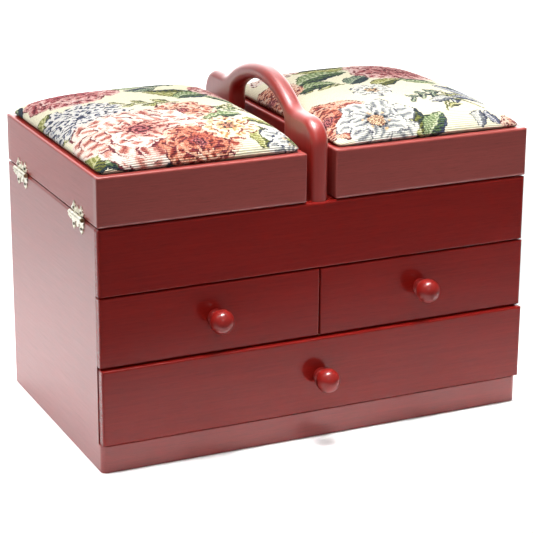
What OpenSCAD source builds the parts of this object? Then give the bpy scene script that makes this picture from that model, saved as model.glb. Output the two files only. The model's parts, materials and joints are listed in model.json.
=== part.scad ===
// Wooden sewing box: two padded lids hinged at the sides, a fixed carrying
// handle between them, a lift-out tray under each lid and three drawers.
// Millimetres. +X is the right-hand side, +Y the back, +Z up. The origin is the
// middle of the underside.

/* [Case] */
// Width of the case over both side panels
case_w = 400; // [360:1:440]
// Depth of the case over the fascia and the back panel
case_d = 231; // [216:1:250]
// Height of the case up to its top edge
case_h = 212.5; // [206:0.5:225]
// Thickness of the side panels
side_t = 9; // [8:0.5:10]
// Thickness of the plinth rail, the fascia and the back panel
front_t = 8; // [7:0.5:9]
// Thickness of the shelves and of the upright partitions
shelf_t = 6; // [5:0.5:7]
// Radius of the rounded top edges of the case
top_round = 2.5; // [1:0.1:3]

/* [Front] */
// Height of the plinth rail
plinth_h = 24.2; // [22:0.1:28]
// Height of the front of the full-width drawer
big_front_h = 66.4; // [62:0.1:68]
// Height of the fronts of the two small drawers
small_front_h = 60.6; // [58:0.1:62]
// Gap between one front and the next
front_gap = 1.2; // [0.8:0.1:1.6]
// Radius of the rounded edges of the drawer fronts
front_round = 1.6; // [1:0.1:2.5]
// Radius of the upright corners of the plinth
plinth_round = 5.2; // [3:0.1:7]
// Radius of the upright corners of the fascia
fascia_round = 3; // [2:0.1:5]
// How far the full-width drawer stands open at rest
big_drawer_ajar = 3.6; // [0:0.1:6]

/* [Lids] */
// Height of a lid's frame
lid_h = 43; // [38:0.5:48]
// Gap between the case and a closed lid
lid_gap = 0.6; // [0.5:0.1:1]
// Width of the slot between the two lids
lid_slot = 27; // [24:0.5:32]
// Thickness of the rails of a lid's frame
rail_t = 8.5; // [7:0.5:10]
// Radius of the upper edges and upright corners of a lid
lid_round = 2; // [1:0.1:2.5]
// Depth of the padded top's board below the rim
board_recess = 5; // [3:0.5:8]
// Thickness of the board that carries the cushion
lid_board_t = 5; // [4:0.5:6]
// Rise of the cushion above the rim
crown = 25; // [15:1:28]

/* [Handle] */
// Height of the handle above the case
handle_h = 92.5; // [85:0.5:100]
// Thickness of the handle board
handle_t = 16; // [12:0.5:18]
// Width of the hand hole
hand_hole_w = 108; // [90:1:112]
// Thickness of the grip at its crown
grip_t = 12.4; // [10:0.1:16]

/* [Drawers and trays] */
// Thickness of the sides and backs of the drawers
drawer_t = 6; // [5:0.5:8]
// Thickness of the thin bottoms of the drawers and trays
panel_t = 3; // [2.5:0.5:4]
// Height of a lift-out tray
tray_h = 28; // [22:1:28]
// Thickness of a tray's walls
tray_t = 5; // [4:0.5:6]
// Diameter of the ball of a knob
knob_d = 21; // [16:0.5:24]
// Distance of the centre of the ball from the drawer front
knob_reach = 14; // [12:0.5:16]

/* [Hinges] */
// Radius of the knuckles
knuckle_r = 2; // [1.8:0.1:2.2]
// Radius of the hinge pin
pin_r = 0.9; // [0.7:0.05:1]
// Thickness of the leaves
leaf_t = 0.9; // [0.8:0.05:1]
// Place of the front hinge along the side
front_hinge_y = -70.5; // [-78:0.5:-60]
// Place of the back hinge along the side
back_hinge_y = 74.5; // [60:0.5:78]

/* [Hidden] */
$fn = 48;

// Outside of the case
half_w = case_w / 2;
half_d = case_d / 2;
inner_x = half_w - side_t;
inner_y = half_d - front_t;

// Heights of the fronts and of the shelves behind the gaps between them
big_z = plinth_h + front_gap;
small_z = big_z + big_front_h + front_gap;
fascia_z = small_z + small_front_h + front_gap;
shelf_z = small_z - front_gap / 2 - shelf_t / 2;
floor_z = fascia_z - front_gap / 2 - shelf_t / 2;
base_t = 5;

// Drawer boxes: clearances round them and room above them
drawer_play = 1;
drawer_lift = 0.4;
drawer_headroom = 3.2;
front_play = 0.3;
back_play = 3.5;
panel_rise = 4;
groove = 3;

// Lids, measured on the left one
lid_z = case_h + lid_gap;
lid_top = lid_z + lid_h;
lid_in = -lid_slot / 2;
frame_x0 = -half_w + rail_t;
frame_x1 = lid_in - rail_t;
frame_y = half_d - rail_t;
lid_board_z = lid_top - board_recess - lid_board_t;

// Bridge between the lids, and the trays beside it
bridge_half = lid_slot / 2 + rail_t;
tray_play = 1.5;
tray_x0 = -inner_x + tray_play;
tray_x1 = -bridge_half - tray_play;
tray_y = frame_y - 0.7;
tray_top = case_h - 8.5;
tray_z = tray_top - tray_h;
ledge = 8;
tray_long_cell = 58;
finger_r = 11;

// Knobs and screws
knob_neck_r = 4.6;
knob_foot_r = 5.6;
screw_r = 1.6;
screw_head_r = 3.4;
bore_play = 0.05;

// Dowels that hold the handle to the bridge and the partition
dowel_r = 3;
dowel_half = 18;
dowel_ys = [-93, -31, 31, 93];

// Hinges, measured on the left side about each hinge's own middle
hinge_x = -half_w - knuckle_r;
hinge_z = case_h + lid_gap / 2;
hinge_ys = [front_hinge_y, back_hinge_y];
knuckle_l = 6;
knuckle_gap = 0.3;
barrel_l = 5 * knuckle_l;
leaf_clear = knuckle_r + 0.4;
pin_head_r = 1.5;
nail_r = 0.7;
nail_l = 5.5;
ear_y = 8.8;
lid_nail_z = 4.6;
case_nail_z = -9.2;

LEFT = -1;
RIGHT = 1;

// ---- Shared shapes -------------------------------------------------------

// Puts what is drawn for the left side on the side asked for
module on_side(side) {
    if (side == LEFT) children();
    else mirror([1, 0, 0]) children();
}

// Box between two corners
module board(low, high) {
    translate(low) cube(high - low);
}

// Waste outside a rounded corner at p; way points into the shape
module corner_waste(p, way, r) {
    over = 0.5;
    difference() {
        translate([min(p.x - way.x * over, p.x + way.x * r),
                   min(p.y - way.y * over, p.y + way.y * r)])
            square(r + over);
        translate(p + way * r) circle(r);
    }
}

// Rectangle whose corners are rounded: r = [low-low, high-low, high-high, low-high]
module rounded_rect(low, high, r) {
    corners = [low, [high.x, low.y], high, [low.x, high.y]];
    ways = [[1, 1], [-1, 1], [-1, -1], [1, -1]];
    difference() {
        translate(low) square(high - low);
        for (i = [0:3]) if (r[i] > 0) corner_waste(corners[i], ways[i], r[i]);
    }
}

// Stands a drawing of Y and Z up and gives it the width from x0 to x1
module along_x(x0, x1) {
    translate([x0, 0, 0]) rotate([90, 0, 90]) linear_extrude(x1 - x0) children();
}

// Stands a drawing of X and Z up and gives it the depth from y0 to y1
module along_y(y0, y1) {
    translate([0, y1, 0]) rotate([90, 0, 0]) linear_extrude(y1 - y0) children();
}

// Gives a drawing of X and Y the height from z0 to z1
module along_z(z0, z1) {
    translate([0, 0, z0]) linear_extrude(z1 - z0) children();
}

// Block whose plan, front view and side view are rounded rectangles
module eased_block(low, high, plan, front, side) {
    intersection() {
        along_z(low.z, high.z)
            rounded_rect([low.x, low.y], [high.x, high.y], plan);
        along_y(low.y - 1, high.y + 1)
            rounded_rect([low.x, low.z], [high.x, high.z], front);
        along_x(low.x - 1, high.x + 1)
            rounded_rect([low.y, low.z], [high.y, high.z], side);
    }
}

// ---- Case ----------------------------------------------------------------

// Outline of the whole case, which every outer board is cut from
module case_form(front_r) {
    back_r = 2;
    eased_block([-half_w, -half_d, 0], [half_w, half_d, case_h],
        [front_r, front_r, back_r, back_r],
        [0, 0, top_round, top_round],
        [0, 0, top_round, top_round]);
}

// Pilot holes for the nails of the hinge leaves, z above or below the pin
module nail_holes(z) {
    for (y = hinge_ys, s = [-1, 1])
        translate([-half_w - 1, y + s * ear_y, hinge_z + z]) rotate([0, 90, 0])
            cylinder(r = nail_r + 0.02, h = nail_l + 1);
}

module side_panel(side) {
    color("indianred") on_side(side) difference() {
        intersection() {
            case_form(fascia_round);
            board([-half_w, -inner_y, 0], [-inner_x, half_d, case_h]);
        }
        nail_holes(case_nail_z);
    }
}

module back_panel() {
    color("firebrick") intersection() {
        case_form(fascia_round);
        board([-inner_x, inner_y, 0], [inner_x, half_d, case_h]);
    }
}

module bottom_board() {
    color("peru") board([-inner_x, -inner_y, 0], [inner_x, inner_y, base_t]);
}

// Three strips that the full-width drawer slides on, level with the plinth
module drawer_runners() {
    runner_w = 14;
    color("burlywood") for (x = [-inner_x, -runner_w / 2, inner_x - runner_w])
        board([x, -inner_y, base_t], [x + runner_w, inner_y, plinth_h]);
}

module plinth_rail() {
    color("firebrick") intersection() {
        case_form(plinth_round);
        along_x(-half_w, half_w)
            rounded_rect([-half_d, 0], [-inner_y, plinth_h], [0, 0, 0, 1]);
    }
}

module front_fascia() {
    color("firebrick") intersection() {
        case_form(fascia_round);
        along_x(-half_w, half_w)
            rounded_rect([-half_d, fascia_z], [-inner_y, case_h], [1, 0, 0, 0]);
    }
}

module shelf(z) {
    color("peru") board([-inner_x, -inner_y, z], [inner_x, inner_y, z + shelf_t]);
}

module drawer_partition() {
    color("peru") board([-shelf_t / 2, -inner_y, shelf_z + shelf_t],
                        [shelf_t / 2, inner_y, floor_z]);
}

// Upright board between the two top compartments
module centre_partition() {
    half_t = 5;
    color("peru") difference() {
        board([-half_t, -inner_y, floor_z + shelf_t],
              [half_t, inner_y, case_h - shelf_t]);
        dowel_holes();
    }
}

// Flat board between the lids, flush with the top of the case
module handle_bridge() {
    color("firebrick") difference() {
        board([-bridge_half, -inner_y, case_h - shelf_t],
              [bridge_half, inner_y, case_h]);
        dowel_holes();
    }
}

module ledges(side) {
    color("peru") on_side(side) for (s = [-1, 1])
        board([-inner_x, min(s * inner_y, s * (inner_y - ledge)), tray_z - 0.3 - ledge],
              [-bridge_half, max(s * inner_y, s * (inner_y - ledge)), tray_z - 0.3]);
}

// ---- Handle --------------------------------------------------------------

// Side view of the handle: shoulders, a crown arc, and hollows between them
module handle_outline() {
    foot_half = half_d - 1.5;
    shoulder_r = 22;
    shoulder_h = 67.5;
    crown_r = 95;
    hollow_r = 30;
    crown_z = handle_h - crown_r;
    hollow_y = sqrt(pow(crown_r + hollow_r, 2) - pow(shoulder_h + hollow_r - crown_z, 2));
    touch = [hollow_y, shoulder_h + hollow_r - crown_z] * crown_r / (crown_r + hollow_r)
            + [0, crown_z];
    rounded_rect([-foot_half, 0], [foot_half, shoulder_h], [0, 0, shoulder_r, shoulder_r]);
    intersection() {
        translate([0, crown_z]) circle(crown_r, $fn = 128);
        translate([-touch.x, 1]) square([2 * touch.x, handle_h]);
    }
    for (s = [-1, 1]) difference() {
        polygon([[s * (touch.x - 6), shoulder_h - 1], [s * hollow_y, shoulder_h - 1],
                 [s * hollow_y, shoulder_h], touch.x * [s, 0] + [0, touch.y],
                 [s * (touch.x - 6), touch.y]]);
        translate([s * hollow_y, shoulder_h + hollow_r]) circle(hollow_r, $fn = 96);
    }
}

// Hand hole: upright sides, a flat sill and an arched top
module hand_hole() {
    half_hole = hand_hole_w / 2;
    sill = 24;
    arch_r = 84;
    spring = 57;
    intersection() {
        rounded_rect([-half_hole, sill], [half_hole, spring + 20], [9, 9, 12, 12]);
        translate([0, handle_h - grip_t - arch_r]) circle(arch_r, $fn = 128);
    }
}

module carrying_handle() {
    post_round = 6.5;
    color("darkred") difference() {
        translate([0, 0, case_h]) intersection() {
            along_x(-handle_t / 2, handle_t / 2) difference() {
                handle_outline();
                hand_hole();
            }
            along_z(0, handle_h)
                rounded_rect([-handle_t / 2, -half_d + 1.5], [handle_t / 2, half_d - 1.5],
                    [post_round, post_round, post_round, post_round]);
        }
        dowel_holes();
    }
}

module dowel_holes() {
    for (y = dowel_ys) translate([0, y, case_h - shelf_t / 2 - dowel_half - 0.5])
        cylinder(r = dowel_r + bore_play, h = 2 * dowel_half + 1);
}

module handle_dowels() {
    color("wheat") for (y = dowel_ys)
        translate([0, y, case_h - shelf_t / 2 - dowel_half])
            cylinder(r = dowel_r, h = 2 * dowel_half);
}

// ---- Lids ----------------------------------------------------------------

// Outline of the left lid, which its four rails are cut from
module lid_form() {
    upper = [top_round, top_round, lid_round, lid_round];
    eased_block([-half_w, -half_d, lid_z], [lid_in, half_d, lid_top],
        [lid_round, lid_round, lid_round, lid_round], upper, upper);
}

module lid_end_rail(side, s) {
    color("firebrick") on_side(side) intersection() {
        lid_form();
        board([-half_w, min(s * frame_y, s * half_d), lid_z],
              [lid_in, max(s * frame_y, s * half_d), lid_top]);
    }
}

module lid_outer_rail(side) {
    color("indianred") on_side(side) difference() {
        intersection() {
            lid_form();
            board([-half_w, -frame_y, lid_z], [frame_x0, frame_y, lid_top]);
        }
        nail_holes(lid_nail_z);
    }
}

module lid_inner_rail(side) {
    color("indianred") on_side(side) intersection() {
        lid_form();
        board([frame_x1, -frame_y, lid_z], [lid_in, frame_y, lid_top]);
    }
}

module lid_board(side) {
    color("tan") on_side(side)
        board([frame_x0, -frame_y, lid_board_z],
              [frame_x1, frame_y, lid_board_z + lid_board_t]);
}

// Padding: a plug inside the frame and a crown that swells over the rim
module cushion(side) {
    rim_gap = 0.3;
    swell = 5;
    skin = 0.3;
    // Each layer: height above the rim, inset from the plug's edge, corner radius
    layers = [[rim_gap, -1, 10], [7, -swell, 14], [17, 6, 22], [crown - 3, 26, 34], [crown, 46, 34]];
    color("antiquewhite") on_side(side) {
        along_z(lid_board_z + lid_board_t, lid_top + rim_gap + skin)
            rounded_rect([frame_x0 + 0.3, -frame_y + 0.3], [frame_x1 - 0.3, frame_y - 0.3],
                [2, 2, 2, 2], $fn = 32);
        hull() for (l = layers) along_z(lid_top + l[0], lid_top + l[0] + skin)
            rounded_rect([frame_x0 + l[1], -frame_y + l[1]], [frame_x1 - l[1], frame_y - l[1]],
                [l[2], l[2], l[2], l[2]], $fn = 32);
    }
}

// ---- Hinges --------------------------------------------------------------

// Draws its children at both hinges of the left side
module at_hinges() {
    for (y = hinge_ys) translate([hinge_x, y, hinge_z]) children();
}

// One ear of a leaf: a round lobe that ends in a point
module leaf_ear(y, z, reach) {
    translate([y, z]) circle(3.6);
    polygon([[y - 2.9, z + sign(reach) * 2], [y - 1.2, z + reach * 0.62], [y, z + reach],
             [y + 1.2, z + reach * 0.62], [y + 2.9, z + sign(reach) * 2]]);
}

// Straps that join a leaf to its own knuckles; first is 0 or 1
module leaf_straps(first, way) {
    for (i = [first:2:4]) {
        y = -barrel_l / 2 + i * knuckle_l + knuckle_gap / 2;
        translate([y, way > 0 ? 0 : -leaf_clear - 1]) square([knuckle_l - knuckle_gap, leaf_clear + 1]);
    }
}

// Two ears, a pointed crest between them, and scrolled ends
module lid_leaf_outline() {
    translate([-13, leaf_clear]) square([26, 2.2]);
    for (s = [-1, 1]) {
        intersection() {
            leaf_ear(s * ear_y, lid_nail_z, 6);
            translate([-16, leaf_clear]) square([32, 12]);
        }
        translate([s * 12.6, leaf_clear + 1.5]) circle(1.5);
        translate([s * 2.6, 4.4]) circle(1.7);
    }
    polygon([[-4.6, 4], [-1.4, 6.2], [0, 9.1], [1.4, 6.2], [4.6, 4]]);
}

// Two long ears, a rounded valley between them, and a side lobe at the back
module case_leaf_outline() {
    translate([-13, -leaf_clear - 3.6]) square([26, 3.6]);
    for (s = [-1, 1]) {
        leaf_ear(s * ear_y, case_nail_z, -4.6);
        translate([s * 12.7, -leaf_clear - 3.4]) circle(1.9);
        translate([s * ear_y - 3, case_nail_z]) square([6, 4]);
    }
    translate([0, -6.2]) circle(3.5);
    translate([12, -6.2]) square([5, 3.4]);
    translate([17, -4.5]) circle(2.5);
    polygon([[17.5, -2.2], [20.4, -3.2], [23.4, -5], [20.2, -6.1], [17.5, -6.8]]);
}

// Pierced work of a leaf: screw holes under the nails and small openings
module leaf_piercing(z, eye_z) {
    for (s = [-1, 1]) {
        translate([s * ear_y, z]) circle(nail_r + 0.02);
        translate([s * (ear_y - 0.3), eye_z]) circle(0.6);
    }
}

// Flat leaf against the side of the box, at the left hinges
module leaf_plate() {
    translate([knuckle_r - leaf_t, 0, 0]) along_x(0, leaf_t) children();
}

// Knuckles along the pin: first is 0 for the case leaf and 1 for the lid leaf
module knuckles(first) {
    for (i = [first:2:4])
        translate([0, -barrel_l / 2 + i * knuckle_l + knuckle_gap / 2, 0]) rotate([-90, 0, 0])
            cylinder(r = knuckle_r, h = knuckle_l - knuckle_gap);
}

module pin_bore() {
    rotate([90, 0, 0]) cylinder(r = pin_r + bore_play, h = barrel_l + 10, center = true);
}

module case_leaves(side) {
    color("gold") on_side(side) at_hinges() difference() {
        union() {
            leaf_plate() difference() {
                union() {
                    case_leaf_outline();
                    leaf_straps(0, -1);
                }
                leaf_piercing(case_nail_z, -6.6);
                translate([16.6, -4.5]) circle(0.8);
                translate([1.2, -5.2]) circle(0.6);
            }
            knuckles(0);
        }
        pin_bore();
    }
}

module lid_leaves(side) {
    color("khaki") on_side(side) at_hinges() difference() {
        union() {
            leaf_plate() difference() {
                union() {
                    lid_leaf_outline();
                    leaf_straps(1, 1);
                }
                leaf_piercing(lid_nail_z, 7.4);
            }
            knuckles(1);
        }
        pin_bore();
    }
}

module hinge_pins(side) {
    head_l = 0.8;
    color("darkgoldenrod") on_side(side) at_hinges() rotate([90, 0, 0]) {
        cylinder(r = pin_r, h = barrel_l, center = true);
        for (s = [-1, 1]) translate([0, 0, s * (barrel_l + head_l) / 2])
            cylinder(r = pin_head_r, h = head_l, center = true);
    }
}

// Domed nails through a leaf into the wood
module nails(side, z) {
    head_r = 1.25;
    head_h = 0.6;
    color("dimgray") on_side(side) at_hinges() for (s = [-1, 1])
        translate([knuckle_r - leaf_t, s * ear_y, z]) rotate([0, 90, 0]) {
            cylinder(r = nail_r, h = nail_l + leaf_t - 0.3);
            translate([0, 0, -head_h / 2]) cylinder(r = head_r, h = head_h, center = true);
        }
}

// ---- Trays ---------------------------------------------------------------

module tray_walls(side) {
    color("burlywood") on_side(side) {
        for (x = [tray_x0, tray_x1 - tray_t])
            board([x, -tray_y + tray_t, tray_z], [x + tray_t, tray_y - tray_t, tray_top]);
        for (y = [-tray_y, tray_y - tray_t]) difference() {
            board([tray_x0, y, tray_z], [tray_x1, y + tray_t, tray_top]);
            translate([(tray_x0 + tray_x1) / 2, y - 1, tray_top]) rotate([-90, 0, 0])
                cylinder(r = finger_r, h = tray_t + 2);
        }
    }
}

module tray_bottom(side) {
    color("wheat") on_side(side)
        board([tray_x0 + tray_t, -tray_y + tray_t, tray_z],
              [tray_x1 - tray_t, tray_y - tray_t, tray_z + panel_t]);
}

// One divider from front to back, and two short ones beside it
module tray_dividers(side) {
    thin = 3;
    drop = 2;
    long_x = tray_x1 - tray_t - tray_long_cell - thin;
    color("tan") on_side(side) {
        board([long_x, -tray_y + tray_t, tray_z + panel_t],
              [long_x + thin, tray_y - tray_t, tray_top - drop]);
        for (s = [-1, 1])
            board([tray_x0 + tray_t, s * tray_y / 3 - thin / 2, tray_z + panel_t],
                  [long_x, s * tray_y / 3 + thin / 2, tray_top - drop]);
    }
}

// ---- Drawers -------------------------------------------------------------

// Places: [left x, right x, front z, front height, floor below the box, room above, shift,
//          rise of the knob above the front's middle]
SMALL = [-half_w, -front_gap / 2, small_z, small_front_h, shelf_z + shelf_t, floor_z, 0, 1];
BIG = [-half_w, half_w, big_z, big_front_h, plinth_h, shelf_z, -big_drawer_ajar, -0.8];

// Inside faces that a drawer box slides between
function box_x0(d) = -inner_x + drawer_play;
function box_x1(d) = d[1] > 0 ? inner_x - drawer_play : -shelf_t / 2 - drawer_play;
function box_z0(d) = d[4] + drawer_lift;
function box_z1(d) = d[5] - drawer_headroom;
function knob_at(d) =
    [(d[0] + d[1]) / 2 + (d[1] > 0 ? 0 : 3), -half_d + d[6], d[2] + d[3] / 2 + d[7]];
box_y0 = -inner_y - front_play;
box_y1 = inner_y - back_play;

module drawer_front(side, d) {
    r = front_round;
    k = knob_at(d);
    color("firebrick") on_side(side) translate([0, d[6], 0]) difference() {
        eased_block([d[0], -half_d, d[2]], [d[1], box_y0, d[2] + d[3]],
            [r, r, 0, 0], [0.8, 0.8, 0.8, 0.8], [r, 0, 0, r]);
        translate([k.x, -half_d - 1, k.z]) rotate([-90, 0, 0])
            cylinder(r = screw_r + bore_play, h = front_t + 2);
    }
}

// Two sides and a back, grooved for the bottom
module drawer_walls(side, d) {
    x0 = box_x0(d);
    x1 = box_x1(d);
    z = box_z0(d) + panel_rise;
    color("burlywood") on_side(side) translate([0, d[6], 0]) difference() {
        union() {
            for (x = [x0, x1 - drawer_t])
                board([x, box_y0, box_z0(d)], [x + drawer_t, box_y1, box_z1(d)]);
            board([x0 + drawer_t, box_y1 - drawer_t, box_z0(d)],
                  [x1 - drawer_t, box_y1, box_z1(d)]);
        }
        board([x0 + drawer_t - groove, box_y0 - 1, z],
              [x1 - drawer_t + groove, box_y1 - drawer_t + groove, z + panel_t]);
    }
}

module drawer_bottom(side, d) {
    z = box_z0(d) + panel_rise;
    color("wheat") on_side(side) translate([0, d[6], 0])
        board([box_x0(d) + drawer_t - groove, box_y0, z],
              [box_x1(d) - drawer_t + groove, box_y1 - drawer_t + groove, z + panel_t]);
}

// Turned knob: a ball on a waisted neck with a small foot
module drawer_knob(side, d) {
    foot_h = 1.6;
    waist_r = 2.6;
    color("darkred") on_side(side) translate(knob_at(d)) rotate([90, 0, 0])
        difference() {
            rotate_extrude($fn = 64) intersection() {
                union() {
                    translate([0, knob_reach]) circle(knob_d / 2);
                    square([knob_foot_r, foot_h]);
                    difference() {
                        square([knob_neck_r + waist_r, knob_reach / 2]);
                        translate([knob_neck_r + waist_r, foot_h + waist_r - 0.6]) circle(waist_r);
                        translate([knob_foot_r, foot_h + waist_r]) square([5, 9]);
                        translate([knob_foot_r - 0.1, foot_h]) square([5, 9]);
                    }
                }
                square([knob_d, 2 * knob_d]);
            }
            translate([0, 0, -1]) cylinder(r = screw_r + bore_play, h = 14);
        }
}

// Pan-head screw from inside the drawer through the front into the knob
module drawer_screw(side, d) {
    reach = 12;
    head_h = 2.2;
    k = knob_at(d);
    color("silver") on_side(side) translate([k.x, box_y0 + d[6], k.z]) rotate([90, 0, 0]) {
        cylinder(r = screw_r, h = front_t - front_play + reach);
        translate([0, 0, -head_h]) cylinder(r = screw_head_r, h = head_h);
    }
}

// ---- Nodes ---------------------------------------------------------------

module left_side_panel() { side_panel(LEFT); }
module right_side_panel() { side_panel(RIGHT); }
module drawer_shelf() { shelf(shelf_z); }
module compartment_floor() { shelf(floor_z); }
module left_tray_ledges() { ledges(LEFT); }
module right_tray_ledges() { ledges(RIGHT); }
module left_case_leaves() { case_leaves(LEFT); }
module right_case_leaves() { case_leaves(RIGHT); }
module left_hinge_pins() { hinge_pins(LEFT); }
module right_hinge_pins() { hinge_pins(RIGHT); }
module left_case_nails() { nails(LEFT, case_nail_z); }
module right_case_nails() { nails(RIGHT, case_nail_z); }
module left_lid_front_rail() { lid_end_rail(LEFT, -1); }
module left_lid_back_rail() { lid_end_rail(LEFT, 1); }
module left_lid_outer_rail() { lid_outer_rail(LEFT); }
module left_lid_inner_rail() { lid_inner_rail(LEFT); }
module left_lid_board() { lid_board(LEFT); }
module left_cushion() { cushion(LEFT); }
module left_lid_leaves() { lid_leaves(LEFT); }
module left_lid_nails() { nails(LEFT, lid_nail_z); }
module right_lid_front_rail() { lid_end_rail(RIGHT, -1); }
module right_lid_back_rail() { lid_end_rail(RIGHT, 1); }
module right_lid_outer_rail() { lid_outer_rail(RIGHT); }
module right_lid_inner_rail() { lid_inner_rail(RIGHT); }
module right_lid_board() { lid_board(RIGHT); }
module right_cushion() { cushion(RIGHT); }
module right_lid_leaves() { lid_leaves(RIGHT); }
module right_lid_nails() { nails(RIGHT, lid_nail_z); }
module left_tray_walls() { tray_walls(LEFT); }
module left_tray_bottom() { tray_bottom(LEFT); }
module left_tray_dividers() { tray_dividers(LEFT); }
module right_tray_walls() { tray_walls(RIGHT); }
module right_tray_bottom() { tray_bottom(RIGHT); }
module right_tray_dividers() { tray_dividers(RIGHT); }
module left_drawer_front() { drawer_front(LEFT, SMALL); }
module left_drawer_walls() { drawer_walls(LEFT, SMALL); }
module left_drawer_bottom() { drawer_bottom(LEFT, SMALL); }
module left_drawer_knob() { drawer_knob(LEFT, SMALL); }
module left_drawer_screw() { drawer_screw(LEFT, SMALL); }
module right_drawer_front() { drawer_front(RIGHT, SMALL); }
module right_drawer_walls() { drawer_walls(RIGHT, SMALL); }
module right_drawer_bottom() { drawer_bottom(RIGHT, SMALL); }
module right_drawer_knob() { drawer_knob(RIGHT, SMALL); }
module right_drawer_screw() { drawer_screw(RIGHT, SMALL); }
module big_drawer_front() { drawer_front(LEFT, BIG); }
module big_drawer_walls() { drawer_walls(LEFT, BIG); }
module big_drawer_bottom() { drawer_bottom(LEFT, BIG); }
module big_drawer_knob() { drawer_knob(LEFT, BIG); }
module big_drawer_screw() { drawer_screw(LEFT, BIG); }

left_side_panel();
right_side_panel();
back_panel();
bottom_board();
drawer_runners();
plinth_rail();
front_fascia();
drawer_shelf();
drawer_partition();
compartment_floor();
centre_partition();
handle_bridge();
carrying_handle();
handle_dowels();
left_tray_ledges();
right_tray_ledges();
left_case_leaves();
right_case_leaves();
left_hinge_pins();
right_hinge_pins();
left_case_nails();
right_case_nails();
left_lid_front_rail();
left_lid_back_rail();
left_lid_outer_rail();
left_lid_inner_rail();
left_lid_board();
left_cushion();
left_lid_leaves();
left_lid_nails();
right_lid_front_rail();
right_lid_back_rail();
right_lid_outer_rail();
right_lid_inner_rail();
right_lid_board();
right_cushion();
right_lid_leaves();
right_lid_nails();
left_tray_walls();
left_tray_bottom();
left_tray_dividers();
right_tray_walls();
right_tray_bottom();
right_tray_dividers();
left_drawer_front();
left_drawer_walls();
left_drawer_bottom();
left_drawer_knob();
left_drawer_screw();
right_drawer_front();
right_drawer_walls();
right_drawer_bottom();
right_drawer_knob();
right_drawer_screw();
big_drawer_front();
big_drawer_walls();
big_drawer_bottom();
big_drawer_knob();
big_drawer_screw();
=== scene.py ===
"""Looks of a wooden sewing box with two tapestry-covered lids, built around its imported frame.

The frame holds every board, hinge and screw. This script gives each of them its finish, makes the
padded tapestry covers and the rounded carrying handle, and sets up the studio.
"""

import json
import logging
import math
from collections.abc import Iterator
from dataclasses import dataclass, field
from enum import Enum

import bmesh
import bpy
import numpy as np
from mathutils import Matrix, Vector


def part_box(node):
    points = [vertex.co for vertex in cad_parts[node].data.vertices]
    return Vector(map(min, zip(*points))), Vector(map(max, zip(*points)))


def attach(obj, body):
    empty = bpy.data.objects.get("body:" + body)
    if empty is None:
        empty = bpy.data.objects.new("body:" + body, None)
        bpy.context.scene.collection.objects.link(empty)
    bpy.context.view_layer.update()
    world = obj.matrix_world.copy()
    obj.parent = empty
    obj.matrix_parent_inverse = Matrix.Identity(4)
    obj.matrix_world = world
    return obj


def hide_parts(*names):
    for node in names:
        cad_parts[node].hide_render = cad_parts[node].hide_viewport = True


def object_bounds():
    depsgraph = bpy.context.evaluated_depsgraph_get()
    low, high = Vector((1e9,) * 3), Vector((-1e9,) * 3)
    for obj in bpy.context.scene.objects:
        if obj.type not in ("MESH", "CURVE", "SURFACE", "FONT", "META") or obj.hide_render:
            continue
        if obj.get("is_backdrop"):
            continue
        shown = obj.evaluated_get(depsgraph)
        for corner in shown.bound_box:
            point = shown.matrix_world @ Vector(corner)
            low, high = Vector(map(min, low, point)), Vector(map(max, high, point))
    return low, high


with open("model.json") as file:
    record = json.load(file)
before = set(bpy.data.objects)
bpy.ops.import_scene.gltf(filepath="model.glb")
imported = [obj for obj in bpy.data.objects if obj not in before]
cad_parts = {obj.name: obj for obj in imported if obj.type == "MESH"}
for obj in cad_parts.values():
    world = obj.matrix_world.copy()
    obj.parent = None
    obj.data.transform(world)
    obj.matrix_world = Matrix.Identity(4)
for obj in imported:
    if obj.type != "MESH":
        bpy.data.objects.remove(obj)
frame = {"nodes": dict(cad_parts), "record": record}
cad_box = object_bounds()

MM = 0.001
Socket = bpy.types.NodeSocket
Colour = tuple[float, float, float]
Triple = tuple[float, float, float]
Point = tuple[float, float]
log = logging.getLogger("sewing_box")


def srgb(text: str) -> Colour:
    """Turns a colour written as six hexadecimal digits into linear light.

    Args:
        text: The colour as it is seen on a screen, such as "a0522d".

    Returns:
        Red, green and blue from 0 to 1 in linear light.
    """
    parts = [int(text[i:i + 2], 16) / 255 for i in (0, 2, 4)]
    return tuple(p / 12.92 if p <= 0.04045 else ((p + 0.055) / 1.055) ** 2.4 for p in parts)


class Side(Enum):
    """Which of the two lids a piece belongs to."""

    LEFT = "left"
    RIGHT = "right"


class Grain(Enum):
    """The direction that the grain of a board runs in."""

    ACROSS = "x"
    DEEP = "y"
    UPRIGHT = "z"

    def stretch(self, pattern: Point) -> Triple:
        """Gives the scale of a pattern that has so many features a metre along and across the grain."""
        along, across = pattern
        return tuple(along if self.value == axis else across for axis in "xyz")


# ---- Materials -----------------------------------------------------------


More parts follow.
